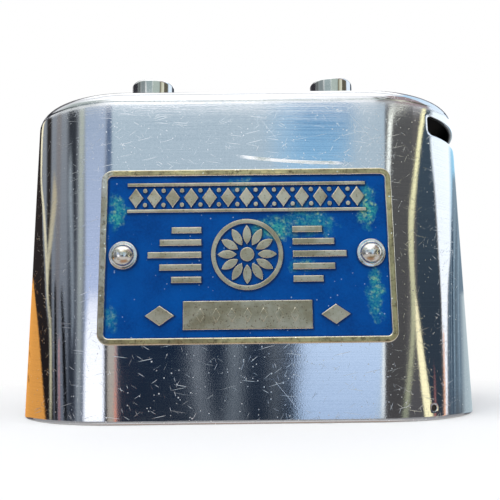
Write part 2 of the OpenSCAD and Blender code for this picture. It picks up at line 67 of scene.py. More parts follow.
def node_box(name):
    """The lowest and highest corner of a CAD node, in millimetres."""
    low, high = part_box(name)
    return np.array(low) / MM, np.array(high) / MM


shell_low, shell_high = node_box("body_shell")
plate_low, plate_high = node_box("name_plate")
END_R = (shell_high[1] - shell_low[1]) / 2
RUN = (shell_high[0] - shell_low[0]) / 2 - END_R
BODY_H = shell_high[2]
WALL = 1.0
PLATE_W, PLATE_H = plate_high[0] - plate_low[0], plate_high[2] - plate_low[2]
PLATE_Z = (plate_high[2] + plate_low[2]) / 2
PLATE_BACK, PLATE_FRONT = plate_high[1], plate_low[1]
print("end radius", END_R, "half straight side", RUN, "height", BODY_H)
print("plate", PLATE_W, "x", PLATE_H, "at height", PLATE_Z, "front at y", PLATE_FRONT)

# %% [markdown]
# A mesh here is a stack of numbered points and a list of faces. Skin gathers both as whole numpy
# arrays. Two rings of points with equally many points are joined by one band of quads. That single
# step is enough for walls, rims, domes and the clean rings round a hole. A grid of points gives one
# quad for every cell.


# %% A skin of points and faces
class Skin:
    """Gathers arrays of points and the faces between them, then makes one Blender mesh of it all."""

    def __init__(self):
        self.points, self.count = [], 0
        self.quads, self.tris = [], []

    def ring(self, points):
        """Adds points and returns their numbers."""
        points = np.asarray(points, float)
        self.points.append(points)
        self.count += len(points)
        return np.arange(self.count - len(points), self.count)

    def band(self, a, b):
        """Quads between ring a and ring b: each edge of a with the same edge of b."""
        a, b = np.append(a, a[0]), np.append(b, b[0])
        self.quads.append(np.stack([a[:-1], a[1:], b[1:], b[:-1]], 1))

    def chain(self, rings):
        """A band from every ring to the next."""
        for a, b in zip(rings[:-1], rings[1:]):
            self.band(a, b)

    def fan(self, a, middle):
        """Triangles from every edge of ring a to one middle point."""
        tip = self.ring([middle])[0]
        after = np.roll(a, -1)
        self.tris.append(np.stack([a, after, np.full(len(a), tip)], 1))

    def mesh(self, name, merge=0.0):
        """The Blender mesh, in metres, with points closer than merge millimetres made one."""
        faces = self.quads + self.tris
        used, order = np.unique(np.concatenate([f.ravel() for f in faces]), return_inverse=True)
        points = np.concatenate(self.points)[used] * MM
        ends = np.cumsum([f.size for f in faces])[:-1]
        groups = [g.reshape(f.shape) for g, f in zip(np.split(order, ends), faces)]
        mesh = bpy.data.meshes.new(name)
        mesh.from_pydata(points, [], [f for group in groups for f in group.tolist()])
        if merge:
            bm = bmesh.new()
            bm.from_mesh(mesh)
            bmesh.ops.remove_doubles(bm, verts=bm.verts, dist=merge * MM)
            bm.to_mesh(mesh)
            bm.free()
        mesh.validate()
        mesh.shade_smooth()
        return mesh


# %% A grid's cells, a mesh's volume, and a new piece
def cells(grid):
    """One quad for every cell of a grid of point numbers, in rows and columns of cells."""
    return np.stack([grid[:-1, :-1], grid[:-1, 1:], grid[1:, 1:], grid[1:, :-1]], 2)


def coordinates(mesh):
    """The places of a mesh's points in metres, a row of three numbers each."""
    flat = np.empty(len(mesh.vertices) * 3)
    mesh.vertices.foreach_get("co", flat)
    return flat.reshape(-1, 3)


CC_IN_M3 = 1e6


def volume(mesh):
    """Signed volume in cubic centimetres, from a sixth of every triangle's triple product: positive when
    the faces of a closed mesh point outwards."""
    mesh.calc_loop_triangles()
    tri = np.empty(len(mesh.loop_triangles) * 3, np.int32)
    mesh.loop_triangles.foreach_get("vertices", tri)
    a, b, c = coordinates(mesh)[tri.reshape(-1, 3)].transpose(1, 0, 2)
    return float(np.sum(a * np.cross(b, c)) / 6 * CC_IN_M3)


def into_scene(name, data):
    """A new object in the scene, with this mesh, lamp or camera."""
    thing = bpy.data.objects.new(name, data)
    bpy.context.scene.collection.objects.link(thing)
    return thing


def piece(name, mesh, body, slot, *replaced):
    """Puts a mesh into the scene as a piece that rides on a CAD body and stands for CAD nodes."""
    if volume(mesh) < 0:
        mesh.flip_normals()
    thing = into_scene(name, mesh)
    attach(thing, body)
    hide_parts(*replaced)
    print(f"{name}: {len(mesh.vertices)} points, {volume(mesh):.3f} cubic centimetres")
    return thing


# %% [markdown]
# The shell was drawn from one steel sheet: a flat top, a rounded edge, straight walls and an open foot.
# In plan it is two half circles joined by straight sides. Each column of points has a centre on the
# middle line and a heading, and a point of the skin is that centre plus a radius along the heading. One
# profile of radius and height then gives the whole sheet, outside and inside, in one go.


# %% Columns round the oval and the sheet's profile
TURN_STEP, SIDE_STEP = 2.0, 1.0


def columns():
    """Centres on the middle line and headings in degrees, once round the oval from the front right."""
    turns = np.arange(-90, 90 + TURN_STEP / 2, TURN_STEP)
    count = int(round(2 * RUN / SIDE_STEP))
    along = np.linspace(RUN, -RUN, count + 1)[1:-1]
    centre = np.concatenate([np.full(len(turns), RUN), along, np.full(len(turns), -RUN), -along])
    heading = np.concatenate([turns, np.full(len(along), 90), turns + 180, np.full(len(along), 270)])
    return centre, heading


def arc(centre, radius, start, stop, steps):
    """Points on an arc of a circle, in degrees, as rows of two numbers."""
    turn = np.radians(np.linspace(start, stop, steps))
    return np.stack([centre[0] + radius * np.cos(turn), centre[1] + radius * np.sin(turn)], 1)


def upright(radius, heights):
    """A straight piece of profile at one radius."""
    return np.stack([np.full(len(heights), radius), heights], 1)


def level_rows(radii, height):
    """A level piece of profile at one height."""
    return np.stack([radii, np.full(len(radii), height)], 1)


# The grid has rows where the holes' rectangles begin and end: heights on the wall for the pins and the
# slot, and radii on the flat top for the rivets.
PIN_ROWS, SLOT_ROWS, RIVET_ROWS = (0.9, 4.1), (64.2, 71.3), (23.9, 17.9)
EDGE_R = 3.4
RIM_R = 0.3
CAVITY_TOP = BODY_H - WALL
INNER_R = END_R - WALL
centre, heading = columns()
N_COL = len(centre)
heights = np.concatenate([
    np.linspace(*PIN_ROWS, 5), [5.5, 7.5], np.linspace(10, 62, 32), np.linspace(*SLOT_ROWS, 9)])
radii = np.concatenate([np.linspace(*RIVET_ROWS, 5), [14, 10, 6, 3, 0]])
outside = np.concatenate([
    arc((END_R - RIM_R, RIM_R), RIM_R, 270, 360, 4),
    upright(END_R, heights),
    arc((END_R - EDGE_R, BODY_H - EDGE_R), EDGE_R, 0, 90, 14),
    level_rows(radii, BODY_H),
])
inside = np.concatenate([
    arc((INNER_R + RIM_R, RIM_R), RIM_R, 270, 180, 4),
    upright(INNER_R, heights),
    arc((END_R - EDGE_R, BODY_H - EDGE_R), EDGE_R - WALL, 0, 90, 8),
    level_rows(radii, CAVITY_TOP),
])


def oval_grid(profile):
    """Every profile point on every column: the centre plus the radius along the heading, at the height."""
    turn = np.radians(heading)
    x = centre + profile[:, :1] * np.cos(turn)
    y = profile[:, :1] * np.sin(turn)
    return np.stack([x, y, np.broadcast_to(profile[:, 1:], x.shape)], 2)


shell = Skin()
out_ids = shell.ring(oval_grid(outside).reshape(-1, 3)).reshape(-1, N_COL)
in_ids = shell.ring(oval_grid(inside).reshape(-1, 3)).reshape(-1, N_COL)
out_keep, in_keep = np.ones((len(outside) - 1, N_COL), bool), np.ones((len(inside) - 1, N_COL), bool)
print("shell grid", len(outside), "+", len(inside), "rows x", N_COL, "columns")

# %% [markdown]
# Holes go through the shell for the coins, for two pins that hold the base frame, and for two flush
# rivets in the top. A boolean cut would leave ragged faces that show on chrome. Instead a rectangle of
# the grid is left out, and rings of points run from its border to the hole's own outline, over a small
# rounded lip and through the sheet. Two numbers say where a point is near a hole: how far along the
# oval, and how far up.


# %% Outlines and the rings that lead to them
BEND = 2


def rounded_outline(half_w, half_h, corner, n_w, n_h):
    """A rounded rectangle, anticlockwise from the middle of its lower right corner. Each side takes as
    many steps as the grid's border beside it, of which BEND lie on each half corner."""
    sides = []
    quarters = ((1, 0), (0, 1), (-1, 0), (0, -1))
    for (c, s), (along, out, steps) in zip(quarters, [(half_h, half_w, n_h), (half_w, half_h, n_w)] * 2):
        low = arc((out - corner, corner - along), corner, -45, 0, BEND + 1)
        high = low[::-1] * [1, -1]
        side = np.concatenate([low[:-1], np.linspace(low[-1], high[0], steps - 2 * BEND + 1), high[1:]])
        sides.append(side[:-1] @ np.array([[c, s], [-s, c]]))
    return np.concatenate(sides)


def circle_outline(radius, n_w, n_h):
    """A circle in the same order: a quarter turn for each side of the grid's border."""
    turns = [np.linspace(-45, 45, n, endpoint=False) + 90 * k for k, n in enumerate([n_h, n_w] * 2)]
    turn = np.radians(np.concatenate(turns))
    return radius * np.stack([np.cos(turn), np.sin(turn)], 1)


def outward(loop):
    """Unit normals of a closed anticlockwise outline: its tangent turned a quarter turn clockwise."""
    tangent = np.roll(loop, -1, 0) - np.roll(loop, 1, 0)
    normal = np.stack([tangent[:, 1], -tangent[:, 0]], 1)
    return normal / np.linalg.norm(normal, axis=1, keepdims=True)


def wall_spot(side, turn, level, radius):
    """The two numbers of a point near a hole in a round end's wall, and the way back to the point. sunk
    is a depth below the surface, into the sheet."""
    out = np.array([math.cos(math.radians(turn)), math.sin(math.radians(turn))])
    along, base = np.array([-out[1], out[0]]), np.array([side * RUN, 0])
    sign = -1 if radius == END_R else 1

    def to_point(p, sunk):
        """The point at these two numbers, on the wall's own circle."""
        r = radius + sign * sunk
        plan = base + p[:, :1] * along + np.sqrt(r * r - p[:, :1] ** 2) * out
        return np.column_stack([plan, level + p[:, 1]])

    return to_point, lambda q: np.column_stack([(q[:, :2] - base) @ along, q[:, 2] - level])


def top_spot(x, y, level):
    """The same for a hole in the flat top over the right-hand end: up means towards the middle."""
    base = np.array([x, y])
    out = (base - [RUN, 0]) / np.linalg.norm(base - [RUN, 0])
    along = np.array([-out[1], out[0]])
    sign = -1 if level == BODY_H else 1

    def to_point(p, sunk):
        """The point at these two numbers, level with the top."""
        plan = base + p[:, :1] * along - p[:, 1:] * out
        return np.column_stack([plan, np.full(len(p), level + sign * sunk)])

    return to_point, lambda q: np.column_stack([(q[:, :2] - base) @ along, -(q[:, :2] - base) @ out])


# %% Rings from the grid to a hole
LIP, LIP_BEND = 0.12, 0.3
EASE = 3


def hole_rings(ids, keep, row_range, col_range, spot, outline, *size):
    """Leaves out a rectangle of the grid and rings it down to the hole's edge and over the lip. The rings
    ease from the rectangle's border to the edge grown by the lip, in the hole's own two numbers."""
    (r0, r1), (c0, c1) = row_range, col_range
    keep[r0:r1, c0:c1] = False
    right, upper = ids[r0:r1, c1], ids[r1, c0 + 1:c1 + 1][::-1]
    left, lower = ids[r0 + 1:r1 + 1, c0][::-1], ids[r0, c0:c1]
    border = np.concatenate([right, upper, left, lower])
    to_point, to_numbers = spot
    start = to_numbers(np.concatenate(shell.points)[border])
    edge = outline(*size, c1 - c0, r1 - r0)
    wide = edge + LIP * outward(edge)
    rings = [border]
    for k in range(1, EASE + 1):
        rings.append(shell.ring(to_point(start + (wide - start) * k / EASE, 0)))
    rings.append(shell.ring(to_point(edge + LIP_BEND * LIP * outward(edge), LIP_BEND * LIP)))
    rings.append(shell.ring(to_point(edge, LIP)))
    return rings


# %% The slot, the pin holes and the rivet holes
ELSEWHERE, SLACK = 999, 0.01


def wall_row(profile, height):
    """The profile's row at a height of the wall. Rows of the top are put out of reach."""
    return int(np.argmin(np.abs(profile[:, 1] - height) + ELSEWHERE * (profile[:, 0] < INNER_R - SLACK)))


def top_row(profile, radius):
    """The profile's row at a radius of the flat top. Rows of the wall are put out of reach."""
    return int(np.argmin(np.abs(profile[:, 0] - radius) + ELSEWHERE * (profile[:, 1] < CAVITY_TOP - SLACK)))


def col_at(side, turn):
    """The column of a round end with this heading."""
    return int(np.argmin(np.abs(heading - turn) + ELSEWHERE * (centre != side * RUN)))


# Heights and lengths are in millimetres, headings in degrees. A flush rivet has its head in the outer face
# of the top, and only its shank comes through the inner one.
SLOT_LOW, SLOT_TOP, SLOT_HALF, SLOT_CORNER = 65.4, 70.1, 23.5, 1.0
SLOT_TURN = 62
PIN_Z, PIN_TURN, PIN_R, PIN_MARGIN = 2.5, 64, 0.75, 4
FLUSH_X, FLUSH_Y, FLUSH_TURNS = 32.74, 20.3, (66, 86)
FLUSH_HEAD_R, FLUSH_SHANK_R = 2.05, 1.25
sheet_sides = ((out_ids, out_keep, outside, END_R, BODY_H), (in_ids, in_keep, inside, INNER_R, CAVITY_TOP))
slot_size = SLOT_HALF, (SLOT_TOP - SLOT_LOW) / 2, SLOT_CORNER
slot_cols = col_at(1, -SLOT_TURN), col_at(1, SLOT_TURN)
slot_rings, pin_rings, rivet_rings = [], {1: [], -1: []}, {1: [], -1: []}
for ids, keep, profile, radius, level in sheet_sides:
    span = [wall_row(profile, height) for height in SLOT_ROWS]
    spot = wall_spot(1, 0, (SLOT_TOP + SLOT_LOW) / 2, radius)
    slot_rings.append(hole_rings(ids, keep, span, slot_cols, spot, rounded_outline, *slot_size))
    span = [wall_row(profile, height) for height in PIN_ROWS]
    for side, turn in ((1, -PIN_TURN), (-1, 180 - PIN_TURN)):
        cols = col_at(side, turn - PIN_MARGIN), col_at(side, turn + PIN_MARGIN)
        spot = wall_spot(side, turn, PIN_Z, radius)
        pin_rings[side].append(hole_rings(ids, keep, span, cols, spot, circle_outline, PIN_R))
    span = [top_row(profile, r) for r in RIVET_ROWS]
    for side in (1, -1):
        cols = sorted(col_at(1, side * turn) for turn in FLUSH_TURNS)
        spot = top_spot(FLUSH_X, side * FLUSH_Y, level)
        hole_r = FLUSH_HEAD_R if level == BODY_H else FLUSH_SHANK_R
        rivet_rings[side].append(hole_rings(ids, keep, span, cols, spot, circle_outline, hole_r))
for out_rings, in_rings in [slot_rings, *pin_rings.values(), *rivet_rings.values()]:
    shell.chain(out_rings + in_rings[::-1])
for ids, keep in ((out_ids, out_keep), (in_ids[::-1], in_keep[::-1])):
    shell.quads.append(cells(np.column_stack([ids, ids[:, 0]]))[keep])
shell.band(in_ids[0], out_ids[0])
print("holes: slot border", len(slot_rings[0][0]), "points, each pin hole", len(pin_rings[1][0][0]))

# %% [markdown]
# Drawn and polished steel is never quite flat: light runs over it in waves. The outside is pushed in by
# a few hundredths of a millimetre along a sum of long waves, less and less towards the foot and the
# inside. Pushing in only keeps it within the CAD box. The shell also gets its own map of lengths round
# the oval and up the wall, so that scratches can follow the sheet round its ends, and a number for every
# point that tells its outside from its inside.

# %% Waves in the sheet
WAVE_DEPTH, WAVE_FADE, WAVE_SPREAD = 0.04, 0.6, 1.6
FOOT_FADE = (2, 16)
TINY, HAIR = 1e-6, 1e-4  # least divisor, and a very small angle or share


def waves(points, low, high, count, seed):
    """A sum of seeded plane waves, about -1 to 1, with wavelengths from low to high millimetres."""
    rng = np.random.default_rng(seed)
    way = rng.normal(size=(count, 3))
    way /= np.linalg.norm(way, axis=1, keepdims=True)
    number, phase = TAU / rng.uniform(low, high, count), rng.uniform(0, TAU, count)
    return np.sin(points @ (way * number[:, None]).T + phase).sum(1) / math.sqrt(count) / WAVE_SPREAD


def smooth_step(x, low, high):
    """0 below low, 1 above high, and an S curve between them."""
    t = np.clip((x - low) / (high - low), 0, 1)
    return t * t * (3 - 2 * t)


def sheet_frame(points):
    """Depth below the outer skin and the skin's normal: radial on the wall, up on the top, and along the
    edge's radius on the rounded edge."""
    x = points[:, 0] - np.clip(points[:, 0], -RUN, RUN)
    radius = np.hypot(x, points[:, 1])
    radial = np.column_stack([x, points[:, 1]]) / np.maximum(radius, TINY)[:, None]
    a = np.maximum(radius - (END_R - EDGE_R), 0)
    b = np.maximum(points[:, 2] - (BODY_H - EDGE_R), 0)
    size = np.hypot(a, b)
    slope = np.column_stack([a, b]) / np.maximum(size, TINY)[:, None]
    normal = np.column_stack([radial * slope[:, :1], slope[:, 1]])
    return EDGE_R - size, normal


points = np.concatenate(shell.points)
depth, normal = sheet_frame(points)
long_waves = waves(points, low=14, high=55, count=9, seed=3)
push = WAVE_DEPTH * (0.5 + 0.5 * np.clip(long_waves, -1, 1))
push *= np.clip(1 - depth / WAVE_FADE, 0, 1) * smooth_step(points[:, 2], *FOOT_FADE)
shell.points = [points - normal * push[:, None]]
shell_mesh = shell.mesh("bank_shell", merge=0.001)
print("deepest wave", round(float(push.max()), 3), "mm")


# %% The shell's map, and which side is the inside
def loop_values(mesh, values):
    """Values of the points, one for every face corner."""
    corner = np.empty(len(mesh.loops), np.int32)
    mesh.loops.foreach_get("vertex_index", corner)
    return values[corner]


def add_map(mesh, name, corners):
    """A UV map from rows of two numbers, one for every face corner."""
    mesh.uv_layers.new(name=name).uv.foreach_set("vector", corners.astype(np.float32).ravel())


def add_number(mesh, name, values):
    """A number for every point, which a finish reads by this name."""
    mesh.attributes.new(name, "FLOAT", "POINT").data.foreach_set("value", values.astype(np.float32))


def unroll(mesh):
    """A map in metres: across is the length round the oval from the middle of the back, up is the length
    up the wall, over the edge and in over the top. Faces across the seam are moved to one side of it."""
    co = coordinates(mesh) / MM
    x = np.clip(co[:, 0], -RUN, RUN)
    turn = np.arctan2(co[:, 0] - x, -co[:, 1])
    half_round = END_R * math.pi + 2 * RUN
    around = np.where(np.abs(turn) > math.pi - HAIR, np.sign(x) * half_round - x, x + END_R * turn)
    above = np.maximum(co[:, 2] - BODY_H + EDGE_R, 0)
    beyond = np.maximum(np.hypot(co[:, 0] - x, co[:, 1]) - END_R + EDGE_R, TINY)
    over = np.clip(co[:, 2], 0, BODY_H - EDGE_R) + EDGE_R * np.arctan2(above, beyond)
    u, v = loop_values(mesh, around), loop_values(mesh, over)
    size = np.empty(len(mesh.polygons), np.int32)
    mesh.polygons.foreach_get("loop_total", size)
    start = np.cumsum(size) - size
    lowest = np.repeat(np.minimum.reduceat(u, start), size)
    u = np.where(u - lowest > half_round, u - 2 * half_round, u)
    add_map(mesh, "sheet_map", np.column_stack([u, v]) * MM)


def mark_inside(mesh):
    """A number for every point: 0 on the polished outside, 1 where the sheet faces the coins, and an S
    curve between them through the thickness of the sheet."""
    depth = sheet_frame(coordinates(mesh) / MM)[0]
    add_number(mesh, "inside", smooth_step(depth, low=0.2, high=0.5))


unroll(shell_mesh)
mark_inside(shell_mesh)
bank_shell = piece("bank_shell", shell_mesh, "body", "chrome_shell", "body_shell")

# %% [markdown]
# The plate was struck from brass sheet: a border stands up round a sunk field, and the ornament stands
# in the field at the border's height. A profile carried round a rounded rectangle makes the border. Old
# soft brass has knocked edges, so small seeded dents push some points down.


# %% The plate's border
CORNERS = np.array([(1, 1), (-1, 1), (-1, -1), (1, -1)])
CORNER_R, BORDER, RELIEF = 2.5, 1.5, 0.75
WORN, INNER_EDGE = 0.42, 0.36
PLATE_STEP, CORNER_STEPS = 0.45, 8


def plate_loop(inset):
    """A rounded rectangle moved inwards by inset: four corner arcs with straight rows between them."""
    middle = np.array([PLATE_W / 2 - CORNER_R, PLATE_H / 2 - CORNER_R]) * CORNERS
    parts = []
    for k in range(4):
        bend = arc(middle[k], CORNER_R - inset, 90 * k, 90 * k + 90, CORNER_STEPS + 1)
        after = middle[(k + 1) % 4] + bend[-1] - middle[k]
        count = int(round(np.linalg.norm(after - bend[-1]) / PLATE_STEP))
        parts += [bend, np.linspace(bend[-1], after, count + 1)[1:-1]]
    return np.concatenate(parts)


def on_plate(loop, height):
    """Plate numbers, across and up from its centre, as points: height is above the sunk floor."""
    y = PLATE_FRONT + RELIEF - np.broadcast_to(height, len(loop))
    return np.column_stack([loop[:, 0], y, PLATE_Z + loop[:, 1]])


def rounded_edge(inset, height, radius, steps, falling=False):
    """Profile rows of inset and height over an edge: a quarter circle that ends at the full height, or
    one that starts there and falls away."""
    t = np.linspace(0, math.pi / 2, steps)
    if falling:
        return np.stack([inset - radius * (1 - np.sin(t)), height - radius * (1 - np.cos(t))], 1)
    return np.stack([inset + radius * (1 - np.cos(t)), height - radius * (1 - np.sin(t))], 1)


def dented(points, spots, depth, size):
    """How far seeded round dents push points back: each a bell curve of its own depth and size."""
    far = ((points[:, None, [0, 2]] - spots[None]) ** 2).sum(2)
    return (depth * np.exp(-far / size ** 2)).sum(1)


BACK_EDGE = ((0.25, 0), (0.06, 0.08), (0, 0.3))
DENTS, DENT_SEED, DENT_INSET = 90, 11, 0.2
FRONT_FADE, PLATE_WAVE = 0.6, 0.02
thick = PLATE_BACK - PLATE_FRONT
border_profile = np.concatenate([
    np.array(BACK_EDGE) + [0, RELIEF - thick],
    rounded_edge(0, RELIEF, WORN, 7),
    np.column_stack([np.linspace(WORN + 0.08, BORDER - INNER_EDGE - 0.06, 5), np.full(5, RELIEF)]),
    rounded_edge(BORDER, RELIEF, INNER_EDGE, 4, falling=True),
    [[BORDER + 0.05, 0]],
])
brass = Skin()
rings = [brass.ring(on_plate(plate_loop(inset), height)) for inset, height in border_profile]
brass.chain(rings)
brass.fan(rings[0][::-1], (0, PLATE_BACK, PLATE_Z))
brass.fan(rings[-1], (0, PLATE_FRONT + RELIEF, PLATE_Z))
rng = np.random.default_rng(DENT_SEED)
knocked = plate_loop(DENT_INSET)
dents = knocked[rng.integers(0, len(knocked), DENTS)] * rng.uniform(0.965, 1.0, (DENTS, 1)) + [0, PLATE_Z]
points = np.concatenate(brass.points)
front = np.clip((PLATE_FRONT + FRONT_FADE - points[:, 1]) / FRONT_FADE, 0, 1)
dent_depth, dent_size = rng.uniform(0.02, 0.09, DENTS), rng.uniform(0.25, 0.8, DENTS)
points[:, 1] += front * dented(points, dents, dent_depth, dent_size)
points[:, 1] += front * PLATE_WAVE * waves(points, low=3, high=12, count=8, seed=5)
brass.points = [points]
print("border", len(border_profile), "rows x", len(rings[0]), "points")

# %% [markdown]
# The ornament is plain and geometric: a band of lozenges, a rosette with stepped rules, and a tablet
# with small struck lozenges. Each motif is an outline that is lifted off the floor, with a worn, rounded
# edge and a slight crown on top. Moving an outline inwards along its corners' bisectors gives the edge's
# rings, so one function makes them all.


# %% Outlines and how they are raised
def inset_loop(loop, d):
    """Moves a closed outline inwards by d: along each corner's bisector, by d over the cosine of half
    the corner's turn, so that both edges beside it move by d."""
    def normal(edge):
        """Every edge turned a quarter turn clockwise, one long."""
        return np.stack([edge[:, 1], -edge[:, 0]], 1) / np.linalg.norm(edge, axis=1, keepdims=True)
    a, b = normal(loop - np.roll(loop, 1, 0)), normal(np.roll(loop, -1, 0) - loop)
    return loop - d * (a + b) / (1 + (a * b).sum(1, keepdims=True))


def polygon(corners, hold=0.5):
    """A closed outline through sharp corners, with two more points on every side, which hold its
    direction: they lie hold away from the corners, or two fifths of the side where that is less."""
    corners = np.asarray(corners, float)
    side = np.roll(corners, -1, 0) - corners
    length = np.linalg.norm(side, axis=1, keepdims=True)
    step = np.minimum(hold, 0.4 * length) / length
    return np.stack([corners, corners + step * side, corners + (1 - step) * side], 1).reshape(-1, 2)


def bar(x, y, w, h):
    """A straight bar from x to x + w, centred on the height y."""
    return polygon([(x, y - h / 2), (x + w, y - h / 2), (x + w, y + h / 2), (x, y + h / 2)])


def lozenge(x, y, w, h):
    """A lozenge standing on a corner."""
    return polygon([(x - w / 2, y), (x, y - h / 2), (x + w / 2, y), (x, y + h / 2)])


def disc(x, y, r, steps=28):
    """A circle round x and y, as a closed outline."""
    turn = np.linspace(0, TAU, steps, endpoint=False)
    return np.stack([x + r * np.cos(turn), y + r * np.sin(turn)], 1)


PETAL_STEPS = 10


def petal(inner, outer, arc_r, turn):
    """The lens between two arcs of one radius, from inner to outer, turned about the rosette."""
    half = math.degrees(math.asin((outer - inner) / 2 / arc_r))
    middle, rise = (inner + outer) / 2, arc_r * math.cos(math.radians(half))
    low = arc((middle, rise), arc_r, -90 - half, -90 + half, PETAL_STEPS)
    high = arc((middle, -rise), arc_r, 90 - half, 90 + half, PETAL_STEPS)
    loop = np.concatenate([low[:-1], high[:-1]])
    c, s = math.cos(math.radians(turn)), math.sin(math.radians(turn))
    return loop @ np.array([[c, s], [-s, c]])


outlines = []


def raised(loop, profile, crown=0.03, keep=True):
    """Lifts an outline off the plate's floor through profile rows of inset and height, and closes it
    below and above; crown is how far the middle stands over the last row."""
    rings = [brass.ring(on_plate(inset_loop(loop, i), h)) for i, h in profile]
    brass.chain(rings)
    middle = loop.mean(0)[None]
    brass.fan(rings[0][::-1], on_plate(middle, profile[0][1])[0])
    brass.fan(rings[-1], on_plate(middle, profile[-1][1] + crown)[0])
    if keep:
        outlines.append(loop)


ROOT, DRAFT, SHOULDER, HOLD = 0.1, (-0.08, -0.03), 0.12, 0.09


def motif(edge=0.2, top=RELIEF):
    """Rows of a motif, from a root below the floor: a slight draft up the side, a rounded edge, and a row
    that holds the flat top."""
    side = [[DRAFT[0], -ROOT], [DRAFT[1], top - edge - SHOULDER]]
    return np.concatenate([side, rounded_edge(0, top, edge, 4), [[edge + HOLD, top]]])


# %% The ornament itself
BAND_Y, BAND_H, BAND_W, STEP = 12.9, 6.0, 53.0, 4.1
BAND_RULE, DOT_R, DOT_EDGE = 0.75, 0.48, 0.1
ROSETTE_Y, ROSETTE_R, RING_W, RING_EDGE = 0.0, 7.9, 1.0, 0.12
RULE_START, RULE_PITCH, RULE_H, RULE_LONG, RULE_LESS = 10.0, 2.75, 1.4, 11.8, 2.6
TABLET_Y, TABLET_W, TABLET_H = -13.2, 28.0, 6.2
TABLET_TOP = RELIEF - 0.1
STRUCK_STEP, STRUCK_W, STRUCK_H, STRUCK_UP = 3.4, 1.9, 3.1, 0.16
RIVET_X, PAD_R = 27.1, 3.1
for side in (-1, 1):
    raised(bar(-BAND_W / 2, BAND_Y + side * BAND_H / 2, BAND_W, BAND_RULE), motif(0.15))
    raised(lozenge(side * (TABLET_W / 2 + 5), TABLET_Y, 6.4, 4.4), motif(), crown=0.0)
    raised(disc(side * RIVET_X, 0, PAD_R, steps=48), motif(0.08))
for i in range(-6, 7):
    raised(lozenge(i * STEP, BAND_Y, 0.8 * STEP, BAND_H - 1.5), motif(), crown=0.0)
    if i < 6:
        for side in (-1, 1):
            dot = disc((i + 0.5) * STEP, BAND_Y + side * 0.27 * BAND_H, DOT_R, steps=20)
            raised(dot, motif(DOT_EDGE))
for i in range(-2, 3):
    length = RULE_LONG - RULE_LESS * abs(i)
    for start in (RULE_START, -RULE_START - length):
        raised(bar(start, ROSETTE_Y + RULE_PITCH * i, length, RULE_H), motif())
shift = np.array([0, ROSETTE_Y])
for turn in range(0, 360, 30):
    leaf = petal(0.29 * ROSETTE_R, 0.82 * ROSETTE_R, 0.36 * ROSETTE_R, turn)
    raised(leaf + shift, motif(0.12), crown=0.08)
raised(disc(0, ROSETTE_Y, 0.2 * ROSETTE_R), motif(), crown=0.1)
inner_side = rounded_edge(RING_W, RELIEF, RING_EDGE, 4, falling=True)
ring_rows = np.concatenate([motif(RING_EDGE)[:-1], inner_side, [[RING_W + 0.05, 0.05]]])
raised(disc(0, ROSETTE_Y, ROSETTE_R, steps=96), ring_rows, crown=0.0)
outlines.append(disc(0, ROSETTE_Y, ROSETTE_R - RING_W, steps=96))
raised(bar(-TABLET_W / 2, TABLET_Y, TABLET_W, TABLET_H), motif(top=TABLET_TOP), crown=0.0)
struck_rows = np.concatenate([
    [[-0.02, -0.05]], rounded_edge(0, STRUCK_UP, 0.1, 3), [[0.16, STRUCK_UP]]]) + [0, TABLET_TOP]
for i in range(-3, 4):
    raised(lozenge(STRUCK_STEP * i, TABLET_Y, STRUCK_W, STRUCK_H), struck_rows, crown=0.0, keep=False)
plate_relief = piece("name_plate_relief", brass.mesh("name_plate_relief"),
                     "body", "plate_brass", "name_plate")
print(len(outlines), "motif outlines")

# %% [markdown]
# The field between the motifs was filled with blue glass enamel and fired. Melted glass creeps a little
# up every metal edge and sinks between them, and its skin has an orange-peel ripple. That is a height
# over a flat grid, worked out from the distance to the nearest metal edge, so the enamel is a grid. Beside
# the motifs, on their sides away from the light, the enamel gets a painted shade: that is a number for
# every point, which the finish reads.


# %% The enamel
ENAMEL_T, CREEP, SAG, PEEL = 0.3, 0.07, 0.05, 0.012
CREEP_REACH, SAG_REACH = 0.3, 1.6
UNDER_BORDER, GLASS_FOOT = 0.3, -0.15
# The painted shade beside the motifs: how far its sample point is moved towards the light, and how far the
# shade reaches.
SHADE_SHIFT, SHADE_REACH = (-0.12, 0.16), 0.3
GRID_ACROSS, GRID_UP = 265, 155
MOTIF_REACH = 3


def distance_to(loop, p):
    """Distance of every point to a closed outline: the least over its edges, each a clamped projection."""
    a, edge = loop, np.roll(loop, -1, 0) - loop
    t = ((p[:, None] - a) * edge).sum(2) / (edge ** 2).sum(1)
    near = a + np.clip(t, 0, 1)[:, :, None] * edge
    return np.sqrt(((p[:, None] - near) ** 2).sum(2)).min(1)


half_w, half_h = PLATE_W / 2 - BORDER + UNDER_BORDER, PLATE_H / 2 - BORDER + UNDER_BORDER
across, upward = np.linspace(-half_w, half_w, GRID_ACROSS), np.linspace(-half_h, half_h, GRID_UP)
flat = np.stack(np.meshgrid(across, upward), 2).reshape(-1, 2)


def far_from_metal(p):
    """Distance of points on the plate to the nearest metal edge: the border's, or a motif's outline. A
    motif is only measured from points up to MOTIF_REACH away from it."""
    sides = np.abs(np.stack([PLATE_W / 2 - BORDER - np.abs(p[:, 0]), PLATE_H / 2 - BORDER - np.abs(p[:, 1])]))
    far = sides.min(0)
    for loop in outlines:
        low, high = loop.min(0) - MOTIF_REACH, loop.max(0) + MOTIF_REACH
        near = np.nonzero(((p > low) & (p < high)).all(1))[0]
        far[near] = np.minimum(far[near], distance_to(loop, p[near]))
    return far


